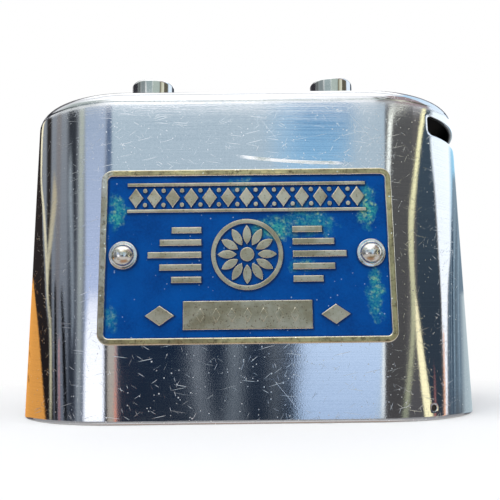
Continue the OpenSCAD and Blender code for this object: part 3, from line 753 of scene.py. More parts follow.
far = far_from_metal(flat)
fired = on_plate(flat, 0)
level = ENAMEL_T + CREEP * np.exp(-far / CREEP_REACH) - SAG * (1 - np.exp(-far / SAG_REACH))
level += PEEL * waves(fired, low=0.9, high=3.5, count=16, seed=8)
glass = Skin()
top = glass.ring(on_plate(flat, level)).reshape(GRID_UP, GRID_ACROSS)
glass.quads.append(cells(top).reshape(-1, 4))
rim = np.concatenate([top[0, :-1], top[:-1, -1], top[-1, :0:-1], top[:0:-1, 0]])
under = glass.ring(on_plate(flat[rim], GLASS_FOOT))
glass.band(under, rim)
glass.fan(under[::-1], on_plate(np.zeros((1, 2)), GLASS_FOOT)[0])
glass_mesh = glass.mesh("enamel_glass")
# The painted shade is dark close to a motif's edge, measured from a point moved towards the light, so it
# falls below and right of the motifs.
lit_from = coordinates(glass_mesh)[:, [0, 2]] / MM - [0, PLATE_Z] + SHADE_SHIFT
add_number(glass_mesh, "painted_shade", np.exp(-far_from_metal(lit_from) / SHADE_REACH))
enamel = piece("enamel_glass", glass_mesh, "body", "blue_enamel", "enamel_field")

# %% [markdown]
# Each rivet was set from the front: a domed head with a thin flange, a shank through plate and shell,
# and an end that was spread over a washer inside. All of that is round about one axis, so a half
# section of radius and depth is turned about it, as on a lathe.


# %% The plate's rivets
def turned(skin, section, place, steps=64):
    """Turns rows of radius and depth about the Y axis through place; the first and the last row lie on
    the axis and become one point each."""
    rings = []
    for r, y in section[1:-1]:
        circle = disc(*place, r, steps)
        rings.append(skin.ring(np.column_stack([circle[:, 0], np.full(steps, y), circle[:, 1]])))
    skin.chain(rings)
    skin.fan(rings[0][::-1], (place[0], section[0][1], place[1]))
    skin.fan(rings[-1], (place[0], section[-1][1], place[1]))


DOME_HALF, FLANGE_T, FLANGE_R, SHANK_R, SPREAD_R = 2.5, 0.35, 3.1, 1.3, 1.885
apex = node_box("plate_rivets")[0][1]
flange_y = PLATE_FRONT - FLANGE_T
head = apex - flange_y
dome_r = (DOME_HALF ** 2 + head ** 2) / (2 * abs(head))
swell = np.linspace(math.asin(DOME_HALF / dome_r), 0, 14)
dome = np.stack([dome_r * np.sin(swell), apex + dome_r * (1 - np.cos(swell))], 1)
spread_end = [[0, -25.4], [1.55, -25.4], [1.8, -25.5], [SPREAD_R, -25.75], [SPREAD_R, -26.6]]
shank = [[SHANK_R, -26.6], [SHANK_R, PLATE_FRONT]]
flange = [[3.02, PLATE_FRONT], [FLANGE_R, PLATE_FRONT - 0.08], [FLANGE_R, flange_y + 0.12],
          [3.06, flange_y + 0.03], [2.96, flange_y], [2.62, flange_y + 0.01], [2.53, flange_y - 0.02]]
section = np.concatenate([spread_end, shank, flange, dome[:-1], [[0, apex]]])
steel = Skin()
for side in (-1, 1):
    turned(steel, section, (side * RIVET_X, PLATE_Z))
rivets = piece("plate_rivet_heads", steel.mesh("plate_rivet_heads"), "body", "rivet_steel", "plate_rivets")

# %% [markdown]
# The camera stands where the picture was taken from: close, low and tilted slightly up. Its place was
# worked out from the outline of the bank, the plate's corners and the posts. A camera looks along its
# own -Z, so its three axes are the picture's right, the picture's up, and backwards.

# %% The camera
from mathutils import Matrix, Vector

FOCAL, FRAME = 565.0, 500
SENSOR = 36
EYE = Vector((0.306, -151.413, 16.397)) * MM
RIGHT = Vector((0.999932, -0.000801, -0.011592))
AHEAD = Vector((0.002712, 0.986155, 0.165804))
UP = RIGHT.cross(AHEAD)
lens = bpy.data.cameras.new("photo_camera")
lens.sensor_width, lens.lens = SENSOR, SENSOR * FOCAL / FRAME
lens.clip_start, lens.clip_end = 0.005, 50
camera = into_scene("photo_camera", lens)
camera.matrix_world = Matrix.Translation(EYE) @ Matrix((RIGHT, UP, -AHEAD)).transposed().to_4x4()
bpy.context.scene.camera = camera
bpy.context.scene.view_settings.view_transform = "Standard"
print("camera", [round(x / MM, 1) for x in EYE], "mm, lens", round(lens.lens, 2))

# %% [markdown]
# A finish is a small tree of nodes. This helper keeps such a tree readable: every call adds one node,
# sets its plain values, links what comes from another node, and hands back the output. Values that are
# the same all over a surface are set on the shader's own sockets.


# %% A helper for finishes
class Finish:
    """One material. Its methods add a node each and return that node's output socket."""

    def __init__(self, name, **values):
        self.material = bpy.data.materials.new(name)
        self.material.use_nodes = True
        self.tree = self.material.node_tree
        self.tree.nodes.clear()
        self.out = self.tree.nodes.new("ShaderNodeOutputMaterial")
        self.shader = self.tree.nodes.new("ShaderNodeBsdfPrincipled")
        self.cover(self.shader.outputs[0])
        self.set(**values)

    def cover(self, shader):
        """Makes this shader the surface."""
        self.feed(self.out.inputs["Surface"], shader)

    def set(self, **values):
        """Gives the shader's sockets plain values or links."""
        for key, value in values.items():
            self.feed(self.shader.inputs[key.replace("_", " ")], value)

    def feed(self, socket, value):
        """Gives a socket a plain value, or links another node's output to it."""
        if isinstance(value, bpy.types.NodeSocket):
            self.tree.links.new(value, socket)
        elif isinstance(value, tuple) and len(value) == 3 and socket.type == "RGBA":
            socket.default_value = (*value, 1)
        else:
            socket.default_value = value

    def node(self, kind, out=0, inputs=(), **settings):
        """Adds a node of this kind; inputs pairs a socket's name or number with its value."""
        made = self.tree.nodes.new("ShaderNode" + kind)
        for key, value in settings.items():
            setattr(made, key, value)
        for key, value in dict(inputs).items():
            self.feed(made.inputs[key], value)
        return made.outputs[out]

    def place(self):
        """The point in the piece's own metres."""
        return self.node("TexCoord", "Object")

    def sheet(self):
        """Lengths round and up the shell's sheet, in metres."""
        return self.node("UVMap", "UV", uv_map="sheet_map")

    def normal(self):
        """The way that the surface faces."""
        return self.node("NewGeometry", "Normal")

    def part(self, axis, vector):
        """One number of a vector: 0 for X, 1 for Y, 2 for Z."""
        return self.node("SeparateXYZ", axis, {0: vector})

    def length(self, vector):
        """How long a vector is."""
        return self.node("VectorMath", 1, {0: vector}, operation="LENGTH")

    def squeeze(self, vector, scale, turn=(0, 0, 0)):
        """Turns a vector by degrees, then scales it."""
        angles = tuple(math.radians(t) for t in turn)
        turned_to = self.node("Mapping", 0, {"Vector": vector, "Rotation": angles})
        return self.node("Mapping", 0, {"Vector": turned_to, "Scale": scale})

    def noise(self, vector, scale, detail=2.0, rough=0.5):
        """A soft random pattern from about 0.2 to 0.8, with scale waves to the metre."""
        settings = {"Vector": vector, "Scale": scale, "Detail": detail, "Roughness": rough}
        return self.node("TexNoise", 0, settings)

    def span(self, value, low, high, to_low=0.0, to_high=1.0):
        """Maps low..high to to_low..to_high and holds it there."""
        names = ("Value", "From Min", "From Max", "To Min", "To Max")
        return self.node("MapRange", 0, zip(names, (value, low, high, to_low, to_high)))

    def math(self, what, a, b=0.0):
        """One operation on one or two numbers."""
        return self.node("Math", 0, {0: a, 1: b}, operation=what)

    def times(self, a, b):
        """a times b, which also cuts mask a to mask b."""
        return self.math("MULTIPLY", a, b)

    def plus(self, a, b):
        """a plus b."""
        return self.math("ADD", a, b)

    def most(self, a, b):
        """The greater of a and b, which joins two masks."""
        return self.math("MAXIMUM", a, b)

    def mix(self, share, a, b):
        """Colour a where share is 0, colour b where it is 1."""
        return self.node("Mix", 2, {0: share, 6: a, 7: b}, data_type="RGBA")

    def blend(self, share, a, b):
        """Number a where share is 0, number b where it is 1."""
        return self.node("Mix", 0, {0: share, 2: a, 3: b}, data_type="FLOAT")

    def layers(self, share, a, b):
        """Shader a where share is 0, shader b where it is 1."""
        return self.node("MixShader", 0, {0: share, 1: a, 2: b})

    def bump(self, height, depth):
        """The slope of a surface whose height in metres is height times depth."""
        return self.node("Bump", 0, {"Height": height, "Distance": depth, "Strength": 1.0})

    def scratches(self, vector, turn, length, width, share):
        """Short straight scratches along one heading. Cells of a pattern that is stretched to length by
        width, in metres, have one random point each. Round it, a share of the cells keep a thin ellipse."""
        thin = self.squeeze(vector, (1 / length, 1 / width, 1), (0, 0, turn))
        far = self.node("TexVoronoi", "Distance", {"Vector": thin, "Scale": 1.0}, voronoi_dimensions="2D")
        luck = self.node("SeparateColor", 0, {0: far.node.outputs["Color"]})
        kept = self.span(luck, 1 - share, 1, 0.15, 1)
        kept = self.times(kept, self.math("GREATER_THAN", luck, 1 - share))
        return self.times(self.span(far, 0.45, 0.2), kept)

    def speckles(self, vector, size, share):
        """Round dots up to half of size wide, in metres, in this share of the cells."""
        far = self.node("TexVoronoi", "Distance", {"Vector": vector, "Scale": 1 / size})
        luck = self.node("SeparateColor", 0, {0: far.node.outputs["Color"]})
        return self.times(self.span(far, 0.35, 0.2), self.span(luck, 1 - share - 0.01, 1 - share))


def dress(thing, finish):
    """Gives a piece its finish."""
    thing.data.materials.append(finish.material)
    print(f"{thing.name}: a finish of {len(finish.tree.nodes)} nodes")


# %% [markdown]
# Polished plate over steel is a mirror that has been carried in pockets. It has fine brushed lines along
# the sheet, short scratches at every angle, small pits where the plate has broken, and a dull bloom of
# handling. A scratch changes the roughness and the slope of the surface, so both read the same mask; the
# colour of scratches and pits is also made paler, as a painted glint. The sheet's inner side was never
# polished, and its colour is a painted shade, nearly black: the points' own number tells the two sides apart.

# %% Brushed lines
PLATED = (0.70, 0.715, 0.745)
SWAY, BRUSHING = 0.004, (35, 6500, 35)
chrome = Finish("chrome_shell", Metallic=1.0)
up = chrome.part(2, chrome.normal())
where = chrome.mix(chrome.span(up, 0.6, 0.8), chrome.sheet(), chrome.place())
sway = chrome.node("TexNoise", "Color", {"Vector": where, "Scale": 25.0, "Detail": 0.0})
where = chrome.node("VectorMath", 0, {0: sway, 1: (SWAY,) * 3, 2: where}, operation="MULTIPLY_ADD")
brushed = chrome.noise(chrome.squeeze(where, BRUSHING), 1.0, 2)
aside, high = (chrome.part(k, chrome.place()) for k in (0, 2))
# The lines show fully only in a zone above the plate, right of the middle, and by two fifths elsewhere.
hand_zone = chrome.times(chrome.span(aside, 0.001, 0.011), chrome.span(aside, 0.0235, 0.0215))
hand_zone = chrome.span(chrome.times(hand_zone, chrome.span(high, 0.052, 0.058)), 0, 1, 0.4, 1.0)
brushed = chrome.plus(chrome.times(chrome.math("SUBTRACT", brushed, 0.5), hand_zone), 0.5)
print("with brushed lines:", len(chrome.tree.nodes), "nodes")

# %% Scratches and pits
# A row is a heading in degrees, a length and a width in metres, and a share of the pattern's cells.
SCRATCHES = (
    (8, 0.0045, 0.00011, 0.010), (31, 0.0020, 0.0001, 0.009), (-38, 0.0024, 0.0001, 0.009),
    (71, 0.0014, 0.0001, 0.008), (-66, 0.0022, 0.0001, 0.006), (-14, 0.0050, 0.0001, 0.010),
    (52, 0.012, 0.00012, 0.003))
worn_zone = chrome.span(chrome.noise(where, 45, 2), 0.35, 0.62, 0.25, 1.0)
marks = chrome.scratches(where, *SCRATCHES[0])
for scratch in SCRATCHES[1:]:
    marks = chrome.most(marks, chrome.scratches(where, *scratch))
pits = chrome.speckles(where, 0.0005, 0.026)
hurt = chrome.times(chrome.most(marks, pits), worn_zone)
hurt = chrome.most(hurt, chrome.speckles(where, 0.00036, 0.014))
print(len(SCRATCHES), "headings of scratches")

# %% How rough the plate is
grit = chrome.noise(where, 3400, 2)
bloom = chrome.noise(where, 60, 3)
rough = chrome.plus(chrome.span(bloom, 0.35, 0.7, 0.04, 0.08), chrome.span(brushed, 0.3, 0.75, 0, 0.05))
round_end = chrome.math("ABSOLUTE", chrome.part(0, chrome.normal()))
rough = chrome.times(rough, chrome.span(round_end, 0.15, 0.7, 1.0, 0.5))
rough = chrome.plus(rough, chrome.times(hurt, 0.4))
inside_face = chrome.node("Attribute", "Fac", attribute_name="inside")
rough = chrome.blend(inside_face, rough, 0.6)
print("with its roughness:", len(chrome.tree.nodes), "nodes")

# %% [markdown]
# The front has one long, shallow step in its finish above the plate. Its sharp edge is a parabola: the
# height rises with the square of the distance from one spot. Below the edge the step fades away over a
# few millimetres. Two ramps make that profile, and two more fade its ends.

# %% The slope of the surface
STEP_X, STEP_Z, STEP_BEND, STEP_HEIGHT = 0.024, 0.0569, 2.75, 5.2
sunk = chrome.plus(chrome.times(hurt, -0.5), chrome.times(brushed, 0.3))
sunk = chrome.plus(sunk, chrome.times(grit, 0.2))
off = chrome.math("SUBTRACT", aside, STEP_X)
line = chrome.times(chrome.times(off, off), STEP_BEND)
over = chrome.math("SUBTRACT", high, chrome.plus(line, STEP_Z))
knock = chrome.times(chrome.span(over, 0.0004, -0.0004), chrome.span(over, -0.0035, -0.0006))
knock = chrome.times(knock, chrome.span(aside, -0.0062, 0.006))
knock = chrome.times(knock, chrome.span(aside, 0.0245, 0.0185))
front_side = chrome.span(chrome.part(1, chrome.place()), -0.02, -0.025)
sunk = chrome.plus(sunk, chrome.times(chrome.times(knock, front_side), STEP_HEIGHT))
print("with its slope:", len(chrome.tree.nodes), "nodes")

# %% The plate's colour
BRUSHED_DARK, GRIT_PALE, GLINT_PALE = (0.46, 0.50, 0.56), (0.82, 0.83, 0.84), (0.96, 0.97, 0.98)
INSIDE_SHADE = (0.03, 0.028, 0.026)
tint = chrome.mix(chrome.span(brushed, 0.25, 0.6), BRUSHED_DARK, PLATED)
tint = chrome.mix(chrome.span(grit, 0.3, 0.7, 0, 0.42), tint, GRIT_PALE)
# Painted glint: scratches and pits are made paler.
tint = chrome.mix(hurt, tint, GLINT_PALE)
# Painted shade: the inside of the sheet is nearly black.
chrome.set(Base_Color=chrome.mix(inside_face, tint, INSIDE_SHADE))
chrome.set(Roughness=rough, Normal=chrome.bump(sunk, 0.00002))
dress(bank_shell, chrome)

# %% [markdown]
# Struck brass goes brown and dull in the air, and stays bright only where fingers rub it: on the edges.
# Where the surface turns away from the plate's front it is an edge, so the normal says where to polish.
# Those rubbed edges are painted nearly white, paler than brass, as a painted highlight on real wear. Dark
# specks of old polish sit on the flat tops.

# %% Struck brass
RIM_AT_SIDES, RIM_AT_TOP = (0.0306, 0.0309), (0.0176, 0.0179)
RIM_YELLOW, RIM_LEFT, MOTIF_DULL = (0.58, 0.51, 0.27), (0.66, 0.65, 0.58), (0.56, 0.51, 0.39)
BRASS_BROWN, RUBBED_AND_HIGHLIGHT = (0.27, 0.225, 0.13), (1.0, 0.97, 0.84)
WORN_DARK, OLD_POLISH = (0.13, 0.105, 0.06), (0.12, 0.10, 0.07)
struck = Finish("plate_brass", Metallic=1.0)
facing = struck.math("ABSOLUTE", struck.part(1, struck.normal()))
rubbed = struck.span(facing, 0.96, 0.75)
grain = struck.noise(struck.place(), 2600, 3)
cloud = struck.noise(struck.place(), 150, 4, 0.6)
specks = struck.span(struck.noise(struck.place(), 2100, 2, 0.6), 0.6, 0.68, 0, 0.75)
from_middle = struck.node("Mapping", 0, {"Vector": struck.place(), "Location": (0, 0, -PLATE_Z * MM)})
sideways, upwards = (struck.math("ABSOLUTE", struck.part(k, from_middle)) for k in (0, 2))
on_border = struck.most(struck.span(sideways, *RIM_AT_SIDES), struck.span(upwards, *RIM_AT_TOP))
left_side = struck.span(struck.part(0, struck.place()), -0.0295, -0.0306)
dull = struck.mix(left_side, RIM_YELLOW, RIM_LEFT)
dull = struck.mix(on_border, MOTIF_DULL, dull)
dull = struck.mix(struck.span(cloud, 0.38, 0.62, 0, 0.75), dull, BRASS_BROWN)
worn = struck.span(struck.noise(struck.place(), 900, 4, 0.65), 0.52, 0.66, 0, 0.8)
dull = struck.mix(struck.times(worn, on_border), dull, WORN_DARK)
nick = struck.times(struck.speckles(struck.place(), 0.0006, 0.05), on_border)
dull = struck.mix(specks, dull, OLD_POLISH)
rubbed = struck.most(rubbed, nick)
# Painted highlight on real wear: the rubbed edges are nearly white.
struck.set(Base_Color=struck.mix(rubbed, dull, RUBBED_AND_HIGHLIGHT))
struck.set(Roughness=struck.blend(rubbed, struck.span(grain, 0.3, 0.7, 0.3, 0.46), 0.16))
struck.set(Normal=struck.bump(struck.math("SUBTRACT", grain, specks), 0.00003))
dress(plate_relief, struck)

# %% [markdown]
# The enamel is a deep, satin blue that has been worn and cleaned. Polish and verdigris have stayed in
# some places, as soft patches of teal and pale green that break up into fine grains. Each patch is a
# soft ellipse, multiplied by a grainy noise. A second noise lets the blue itself vary from spot to spot.


# %% A soft patch
def patch(paint, x, z, half_w, half_h, strength=1.0):
    """A soft ellipse on the plate, from strength in the middle to 0 at its edge. Millimetres from the
    plate's own centre; a noise frays the edge."""
    move, shrink = (-x * MM, 0, -(z + PLATE_Z) * MM), (1 / MM / half_w, 0, 1 / MM / half_h)
    shifted = paint.node("Mapping", 0, {"Vector": paint.place(), "Location": move})
    far = paint.length(paint.node("VectorMath", 0, {0: shifted, 1: shrink}, operation="MULTIPLY"))
    far = paint.plus(far, paint.span(paint.noise(paint.place(), 500, 3), 0.3, 0.7, -0.35, 0.35))
    return paint.span(far, 1.0, 0.25, 0, strength)


# %% The colours of the enamel
BLUE_DEEP, BLUE_MID, BLUE_CLEAR = (0.0, 0.040, 0.205), (0.0, 0.068, 0.31), (0.0, 0.096, 0.38)
TEAL, GREEN, PALE_GREEN = (0.0, 0.20, 0.25), (0.07, 0.42, 0.30), (0.50, 0.64, 0.30)
PALE_SPECK_BLUE, SHADE_BLUE = (0.45, 0.62, 0.78), (0.004, 0.012, 0.045)
# A row is a place across and up from the plate's centre, half a width, half a height and a strength.
PATCHES = ((-28.6, 10.0, 2.4, 4.6, 0.9), (-1.6, 15.8, 3.0, 2.6, 0.5), (6.4, 5.6, 5.6, 3.2, 1.0),
           (14.0, 7.4, 6.5, 4.6, 0.55), (26.9, 10.4, 2.2, 5.6, 1.15), (27.9, -8.6, 2.4, 6.0, 0.9),
           (12.6, -2.7, 3.4, 1.7, 0.6), (-29.6, -14.0, 1.6, 4.0, 0.4))
glaze = Finish("blue_enamel", Roughness=0.3, Specular_IOR_Level=0.06)
cloud = glaze.noise(glaze.place(), 160, 4)
fine = glaze.noise(glaze.place(), 1900, 3, 0.65)
blue = glaze.mix(glaze.span(cloud, 0.3, 0.7), BLUE_DEEP, BLUE_MID)
blue = glaze.mix(glaze.span(fine, 0.35, 0.7, 0, 0.35), blue, BLUE_CLEAR)
stain = patch(glaze, *PATCHES[0])
for spot in PATCHES[1:]:
    stain = glaze.most(stain, patch(glaze, *spot))
wash = glaze.times(stain, 0.6)
grains = glaze.times(stain, glaze.span(fine, 0.38, 0.70))
blue = glaze.mix(wash, blue, TEAL)
blue = glaze.mix(grains, blue, GREEN)
pale = glaze.times(grains, glaze.span(glaze.noise(glaze.place(), 900, 2), 0.5, 0.66))
blue = glaze.mix(pale, blue, PALE_GREEN)
# Small pale blue specks over the enamel.
pale_specks = glaze.speckles(glaze.place(), 0.0005, 0.012)
blue = glaze.mix(glaze.times(pale_specks, 0.6), blue, PALE_SPECK_BLUE)
# Painted shade: the blue turns almost black beside the motifs.
edge_shade = glaze.span(glaze.node("Attribute", "Fac", attribute_name="painted_shade"), 0.25, 0.95, 0, 0.85)
glaze.set(Base_Color=glaze.mix(edge_shade, blue, SHADE_BLUE))
glaze.set(Normal=glaze.bump(fine, 0.00002))
dress(enamel, glaze)

# %% [markdown]
# The small steel pieces share one recipe: a base colour with a slight cloud of tone, and a roughness that
# wanders a little. The rivet heads and posts were turned and polished, so theirs is low. The chute and
# the flap behind the slot are painted nearly black, as painted shade, so that the slot looks dark.

# %% Small steel
domes = Finish("rivet_steel", Metallic=1.0)
cloud = domes.noise(domes.place(), 700, 3)
domes.set(Base_Color=domes.mix(domes.span(cloud, 0.5, 0.7), (0.74, 0.73, 0.70), (0.42, 0.38, 0.27)))
domes.set(Roughness=domes.span(domes.noise(domes.place(), 1500, 3), 0.3, 0.7, 0.08, 0.26))
dress(rivets, domes)


def plain_steel(name, colour, low, high, scale=700, cloudy=0.25):
    """A worked steel: one colour with a cloudy change of tone and of roughness."""
    made = Finish(name, Metallic=1.0)
    cloud = made.noise(made.place(), scale, 4)
    dark = tuple((1 - cloudy) * c for c in colour)
    made.set(Base_Color=made.mix(made.span(cloud, 0.35, 0.65), dark, colour))
    made.set(Roughness=made.span(made.noise(made.place(), 3 * scale, 3), 0.3, 0.7, low, high))
    return made.material


record_slots = {row["node"]: row["material_slot"] for row in frame["record"]["subparts"]}
# A steel is a colour, its least and greatest roughness, and how many clouds of tone it has to the metre.
steels = {
    "post_steel": plain_steel("post_steel", (0.72, 0.73, 0.74), 0.03, 0.07, cloudy=0.05),
    "rivet_steel": domes.material,
    "inner_steel": plain_steel("inner_steel", (0.42, 0.42, 0.43), 0.35, 0.55, 400),
    "door_steel": plain_steel("door_steel", (0.62, 0.63, 0.65), 0.16, 0.34),
    "zinc_fasteners": plain_steel("zinc_fasteners", (0.56, 0.57, 0.56), 0.25, 0.42, 1200),
    "spring_steel": plain_steel("spring_steel", (0.20, 0.21, 0.27), 0.2, 0.35),
    "dark_steel": plain_steel("dark_steel", (0.10, 0.09, 0.085), 0.4, 0.6, 2000),
    "plug_brass": plain_steel("plug_brass", (0.72, 0.58, 0.32), 0.16, 0.35, 1500),
}
# Painted shade: the chute and the flap behind the slot are nearly black.
slot_shade = plain_steel("slot_painted_shade", (0.035, 0.034, 0.033), 0.5, 0.7)
for name, node in NODES.items():
    if not node.hide_render:
        in_the_slot = name in ("coin_chute", "coin_flap")
        node.data.materials.clear()
        node.data.materials.append(slot_shade if in_the_slot else steels[record_slots[name]])

# %% [markdown]
# A mirror shows its surroundings, so a studio for chrome is built from what it reflects. The world is
# plain white to the camera and to reflections. Cards stand round the bank, as they do round polished
# goods in a studio: dark ones for a dark room, blue, beige and wood-coloured ones for what stood about.
# Only reflections see the cards. They light nothing, and they aren't part of the object.

# %% The world
ROOM_LIGHT, PLAIN_WHITE = ((0.93, 0.95, 1, 1), 0.5), ((1, 1, 1, 1), 1.0)
world = bpy.data.worlds.new("plain_white")
bpy.context.scene.world = world
world.use_nodes = True
sky = world.node_tree
sky.nodes.clear()
path = sky.nodes.new("ShaderNodeLightPath")
seen = path.outputs["Is Camera Ray"]
for ray in ("Is Glossy Ray", "Is Transmission Ray"):
    either = sky.nodes.new("ShaderNodeMath")
    either.operation = "MAXIMUM"
    sky.links.new(seen, either.inputs[0])
    sky.links.new(path.outputs[ray], either.inputs[1])
    seen = either.outputs[0]
both, out = sky.nodes.new("ShaderNodeMixShader"), sky.nodes.new("ShaderNodeOutputWorld")
sky.links.new(seen, both.inputs[0])
for k, (colour, strength) in enumerate((ROOM_LIGHT, PLAIN_WHITE), 1):
    background = sky.nodes.new("ShaderNodeBackground")
    background.inputs[0].default_value = colour
    background.inputs[1].default_value = strength
    sky.links.new(background.outputs[0], both.inputs[k])
sky.links.new(both.outputs[0], out.inputs[0])
print("world:", len(sky.nodes), "nodes")

# %% Lamps and floor
LIT_POINT = Vector((0, 0, 35))


def lamp(name, place, size, power):
    """A soft square lamp that faces the middle of the bank. place and size are in millimetres."""
    light = bpy.data.lights.new(name, "AREA")
    light.size, light.energy = size * MM, power
    thing = into_scene(name, light)
    thing.location = Vector(place) * MM
    thing.rotation_euler = (LIT_POINT - Vector(place)).to_track_quat("-Z", "Y").to_euler()
    thing.visible_glossy = False


lamp("lamp_above", (-120, -160, 420), 320, 1.3)
lamp("lamp_side", (380, -120, 240), 260, 0.5)

FLOOR_Z, FLOOR_STEPS, FLOOR_RINGS = -0.03, 96, (60, 120, 300, 900, 9000)
ground = Skin()
rings = [ground.ring(np.column_stack([disc(0, 0, r, FLOOR_STEPS), np.full(FLOOR_STEPS, FLOOR_Z)]))
         for r in FLOOR_RINGS]
ground.chain(rings)
ground.fan(rings[0][::-1], (0, 0, FLOOR_Z))
floor = into_scene("pale_floor", ground.mesh("pale_floor"))
floor.data.flip_normals()
floor.visible_glossy = False
pale = Finish("pale_floor", Base_Color=(0.93, 0.93, 0.93), Roughness=0.9)
far_off = pale.span(pale.length(pale.place()), 0.05, 0.16)
glow = pale.node("Emission", 0, {0: (1, 1, 1), 1: 1.0})
both = pale.layers(far_off, pale.shader.outputs[0], glow)
from_below = pale.node("NewGeometry", "Backfacing")
pale.cover(pale.layers(from_below, both, pale.node("BsdfTransparent")))
dress(floor, pale)

# %% [markdown]
# A card has to stand where the chrome shows it. So its edges are drawn as curves over the picture, in
# pixels, and each point is followed from the camera to a polished wall and off it again, out to a wide
# cylinder round the bank. A ray meets an upright cylinder where a quadratic has a root: the nearer one
# for a wall that it comes to, the farther one for the cylinder that it is inside. It leaves a wall with
# its part along the wall's normal reversed.

# %% From a pixel to a card
CARD_R, CARD_ROWS = 450.0, 40
POST_R, POST_X, POST_UP = 5.9, (-26.2, 24.2), 6
# A wall is given by its middle along X, half its straight run and the radius of its round ends.
SHELL_WALL = (0.0, RUN, END_R)
PANEL_COLS, PANEL_ROWS, LEVEL_STEPS = 90, 12, 6
eye = np.array(EYE) / MM


def to_cylinder(start, way, radius, sign):
    """How far rays go, in lengths of way, to an upright cylinder round the middle: the root of a quadratic
    in plan, the nearer one for a sign of -1 and the farther one for 1."""
    a, b = (way[:, :2] ** 2).sum(1), (start[:, :2] * way[:, :2]).sum(1)
    c = (start[:, :2] ** 2).sum(1) - radius ** 2
    return (-b + sign * np.sqrt(np.maximum(b * b - a * c, 0))) / a


def mirrored(pixels, reach, middle, run, radius):
    """Where rays through these pixels meet a cylinder of the radius reach, in millimetres, after an upright
    wall has mirrored them. In plan the wall is two half circles joined by straight sides."""
    px, py = (np.asarray(pixels, float).T - FRAME / 2) / FOCAL
    way = np.array(AHEAD) + px[:, None] * np.array(RIGHT) - py[:, None] * np.array(UP)
    way /= np.linalg.norm(way, axis=1, keepdims=True)
    t_flat = (-radius - eye[1]) / way[:, 1]
    x_flat = eye[0] - middle + t_flat * way[:, 0]
    side = np.clip(x_flat, -run, run)
    start = np.stack([eye[0] - middle - side, np.full(len(side), eye[1])], 1)
    t = np.where(side == x_flat, t_flat, to_cylinder(start, way, radius, -1))
    hit = eye + t[:, None] * way
    out = np.stack([hit[:, 0] - middle - side, hit[:, 1], np.zeros(len(px))], 1)
    out /= np.linalg.norm(out, axis=1, keepdims=True)
    way = way - 2 * (way * out).sum(1)[:, None] * out
    return hit + to_cylinder(hit, way, reach, 1)[:, None] * way


in_the_middle = mirrored([(FRAME / 2, FRAME / 2)], CARD_R, *SHELL_WALL)[0]
print("the middle of the picture is mirrored to", in_the_middle.round(1), "mm")


def curve(points, steps):
    """A smooth curve through points: between two of them a cubic whose slopes come from their neighbours."""
    p = np.asarray(points, float)
    p = np.concatenate([[2 * p[0] - p[1]], p, [2 * p[-1] - p[-2]]])
    s = np.linspace(0, len(p) - 3 - 1e-9, steps)
    k, t = s.astype(int), (s % 1)[:, None]
    a, b, c, d = p[k], p[k + 1], p[k + 2], p[k + 3]
    slope, bend = c - a, 2 * a - 5 * b + 4 * c - d
    return 0.5 * (2 * b + slope * t + bend * t ** 2 + (3 * b - a - 3 * c + d) * t ** 3)


# %% [markdown]
# Every card is a grid of points with a glow on it. Its colour runs from its top edge to its bottom edge,
# and it fades out towards its sides and ends, because reflections of a room have soft edges. Only
# reflections see it. A later card stands a little nearer, so it lies over the ones before.


# %% A glowing card
def shown(red, green, blue):
    """The light that the chrome shows as this colour of the screen, 0 to 255: screen values made linear,
    then divided by what the plate reflects. Above 255 it stays white however it is dulled."""
    screen = np.array([red, green, blue]) / 255
    linear = np.where(screen < 0.04045, screen / 12.92, ((screen + 0.055) / 1.055) ** 2.4)
    return tuple(linear / PLATED)


card_names = []


def next_reach():
    """The radius of the next card: a millimetre less for each card before it."""
    return CARD_R - len(card_names)


def glowing(name, points, top, bottom, soft, ends):
    """A sheet through a grid of points in millimetres, which glows and which only reflections see. soft
    and ends are the shares of its width and its height over which it fades."""
    rows, cols = points.shape[:2]
    skin = Skin()
    ids = skin.ring(points.reshape(-1, 3)).reshape(rows, cols)
    skin.quads.append(cells(ids).reshape(-1, 4))
    thing = into_scene(name, skin.mesh(name))
    share = np.stack(np.meshgrid(np.linspace(0, 1, cols), np.linspace(0, 1, rows)), 2).reshape(-1, 2)
    add_map(thing.data, "card_map", loop_values(thing.data, share))
    paint = Finish(name)
    x, y = (paint.part(k, paint.node("UVMap", "UV", uv_map="card_map")) for k in (0, 1))
    near = [paint.math("MINIMUM", v, paint.math("SUBTRACT", 1.0, v)) for v in (x, y)]
    fade = paint.times(paint.span(near[0], 0, soft + HAIR), paint.span(near[1], 0, ends + HAIR))
    glow = paint.node("Emission", 0, {0: paint.mix(y, shown(*top), shown(*bottom))})
    paint.cover(paint.layers(fade, paint.node("BsdfTransparent"), glow))
    thing.data.materials.append(paint.material)
    thing.visible_camera = thing.visible_diffuse = thing.visible_shadow = thing.visible_transmission = False
    card_names.append(name)


# %% Three kinds of card
def card(name, rows, left, right, top, bottom, soft=0.25, ends=0.04, wall=SHELL_WALL, cols=30):
    """A card drawn over the picture: rows are heights in the picture, and left and right the columns
    that its two edges have there. top and bottom are its colours."""
    a, b = (curve(np.column_stack([edge, rows]), CARD_ROWS) for edge in (left, right))
    pixels = a[:, None] + (b - a)[:, None] * np.linspace(0, 1, cols)[None, :, None]
    points = mirrored(pixels.reshape(-1, 2), next_reach(), *wall)
    glowing(name, points.reshape(len(a), cols, 3), top, bottom, soft, ends)


def panel(name, turns, heights, top, bottom, soft=0.1, ends=0.1):
    """A card between two headings, in degrees from the front towards the right, and two heights."""
    turn, z = np.meshgrid(np.radians(np.linspace(*turns, PANEL_COLS)), np.linspace(*heights, PANEL_ROWS))
    r = next_reach()
    glowing(name, np.stack([r * np.sin(turn), -r * np.cos(turn), z], 2), top, bottom, soft, ends)


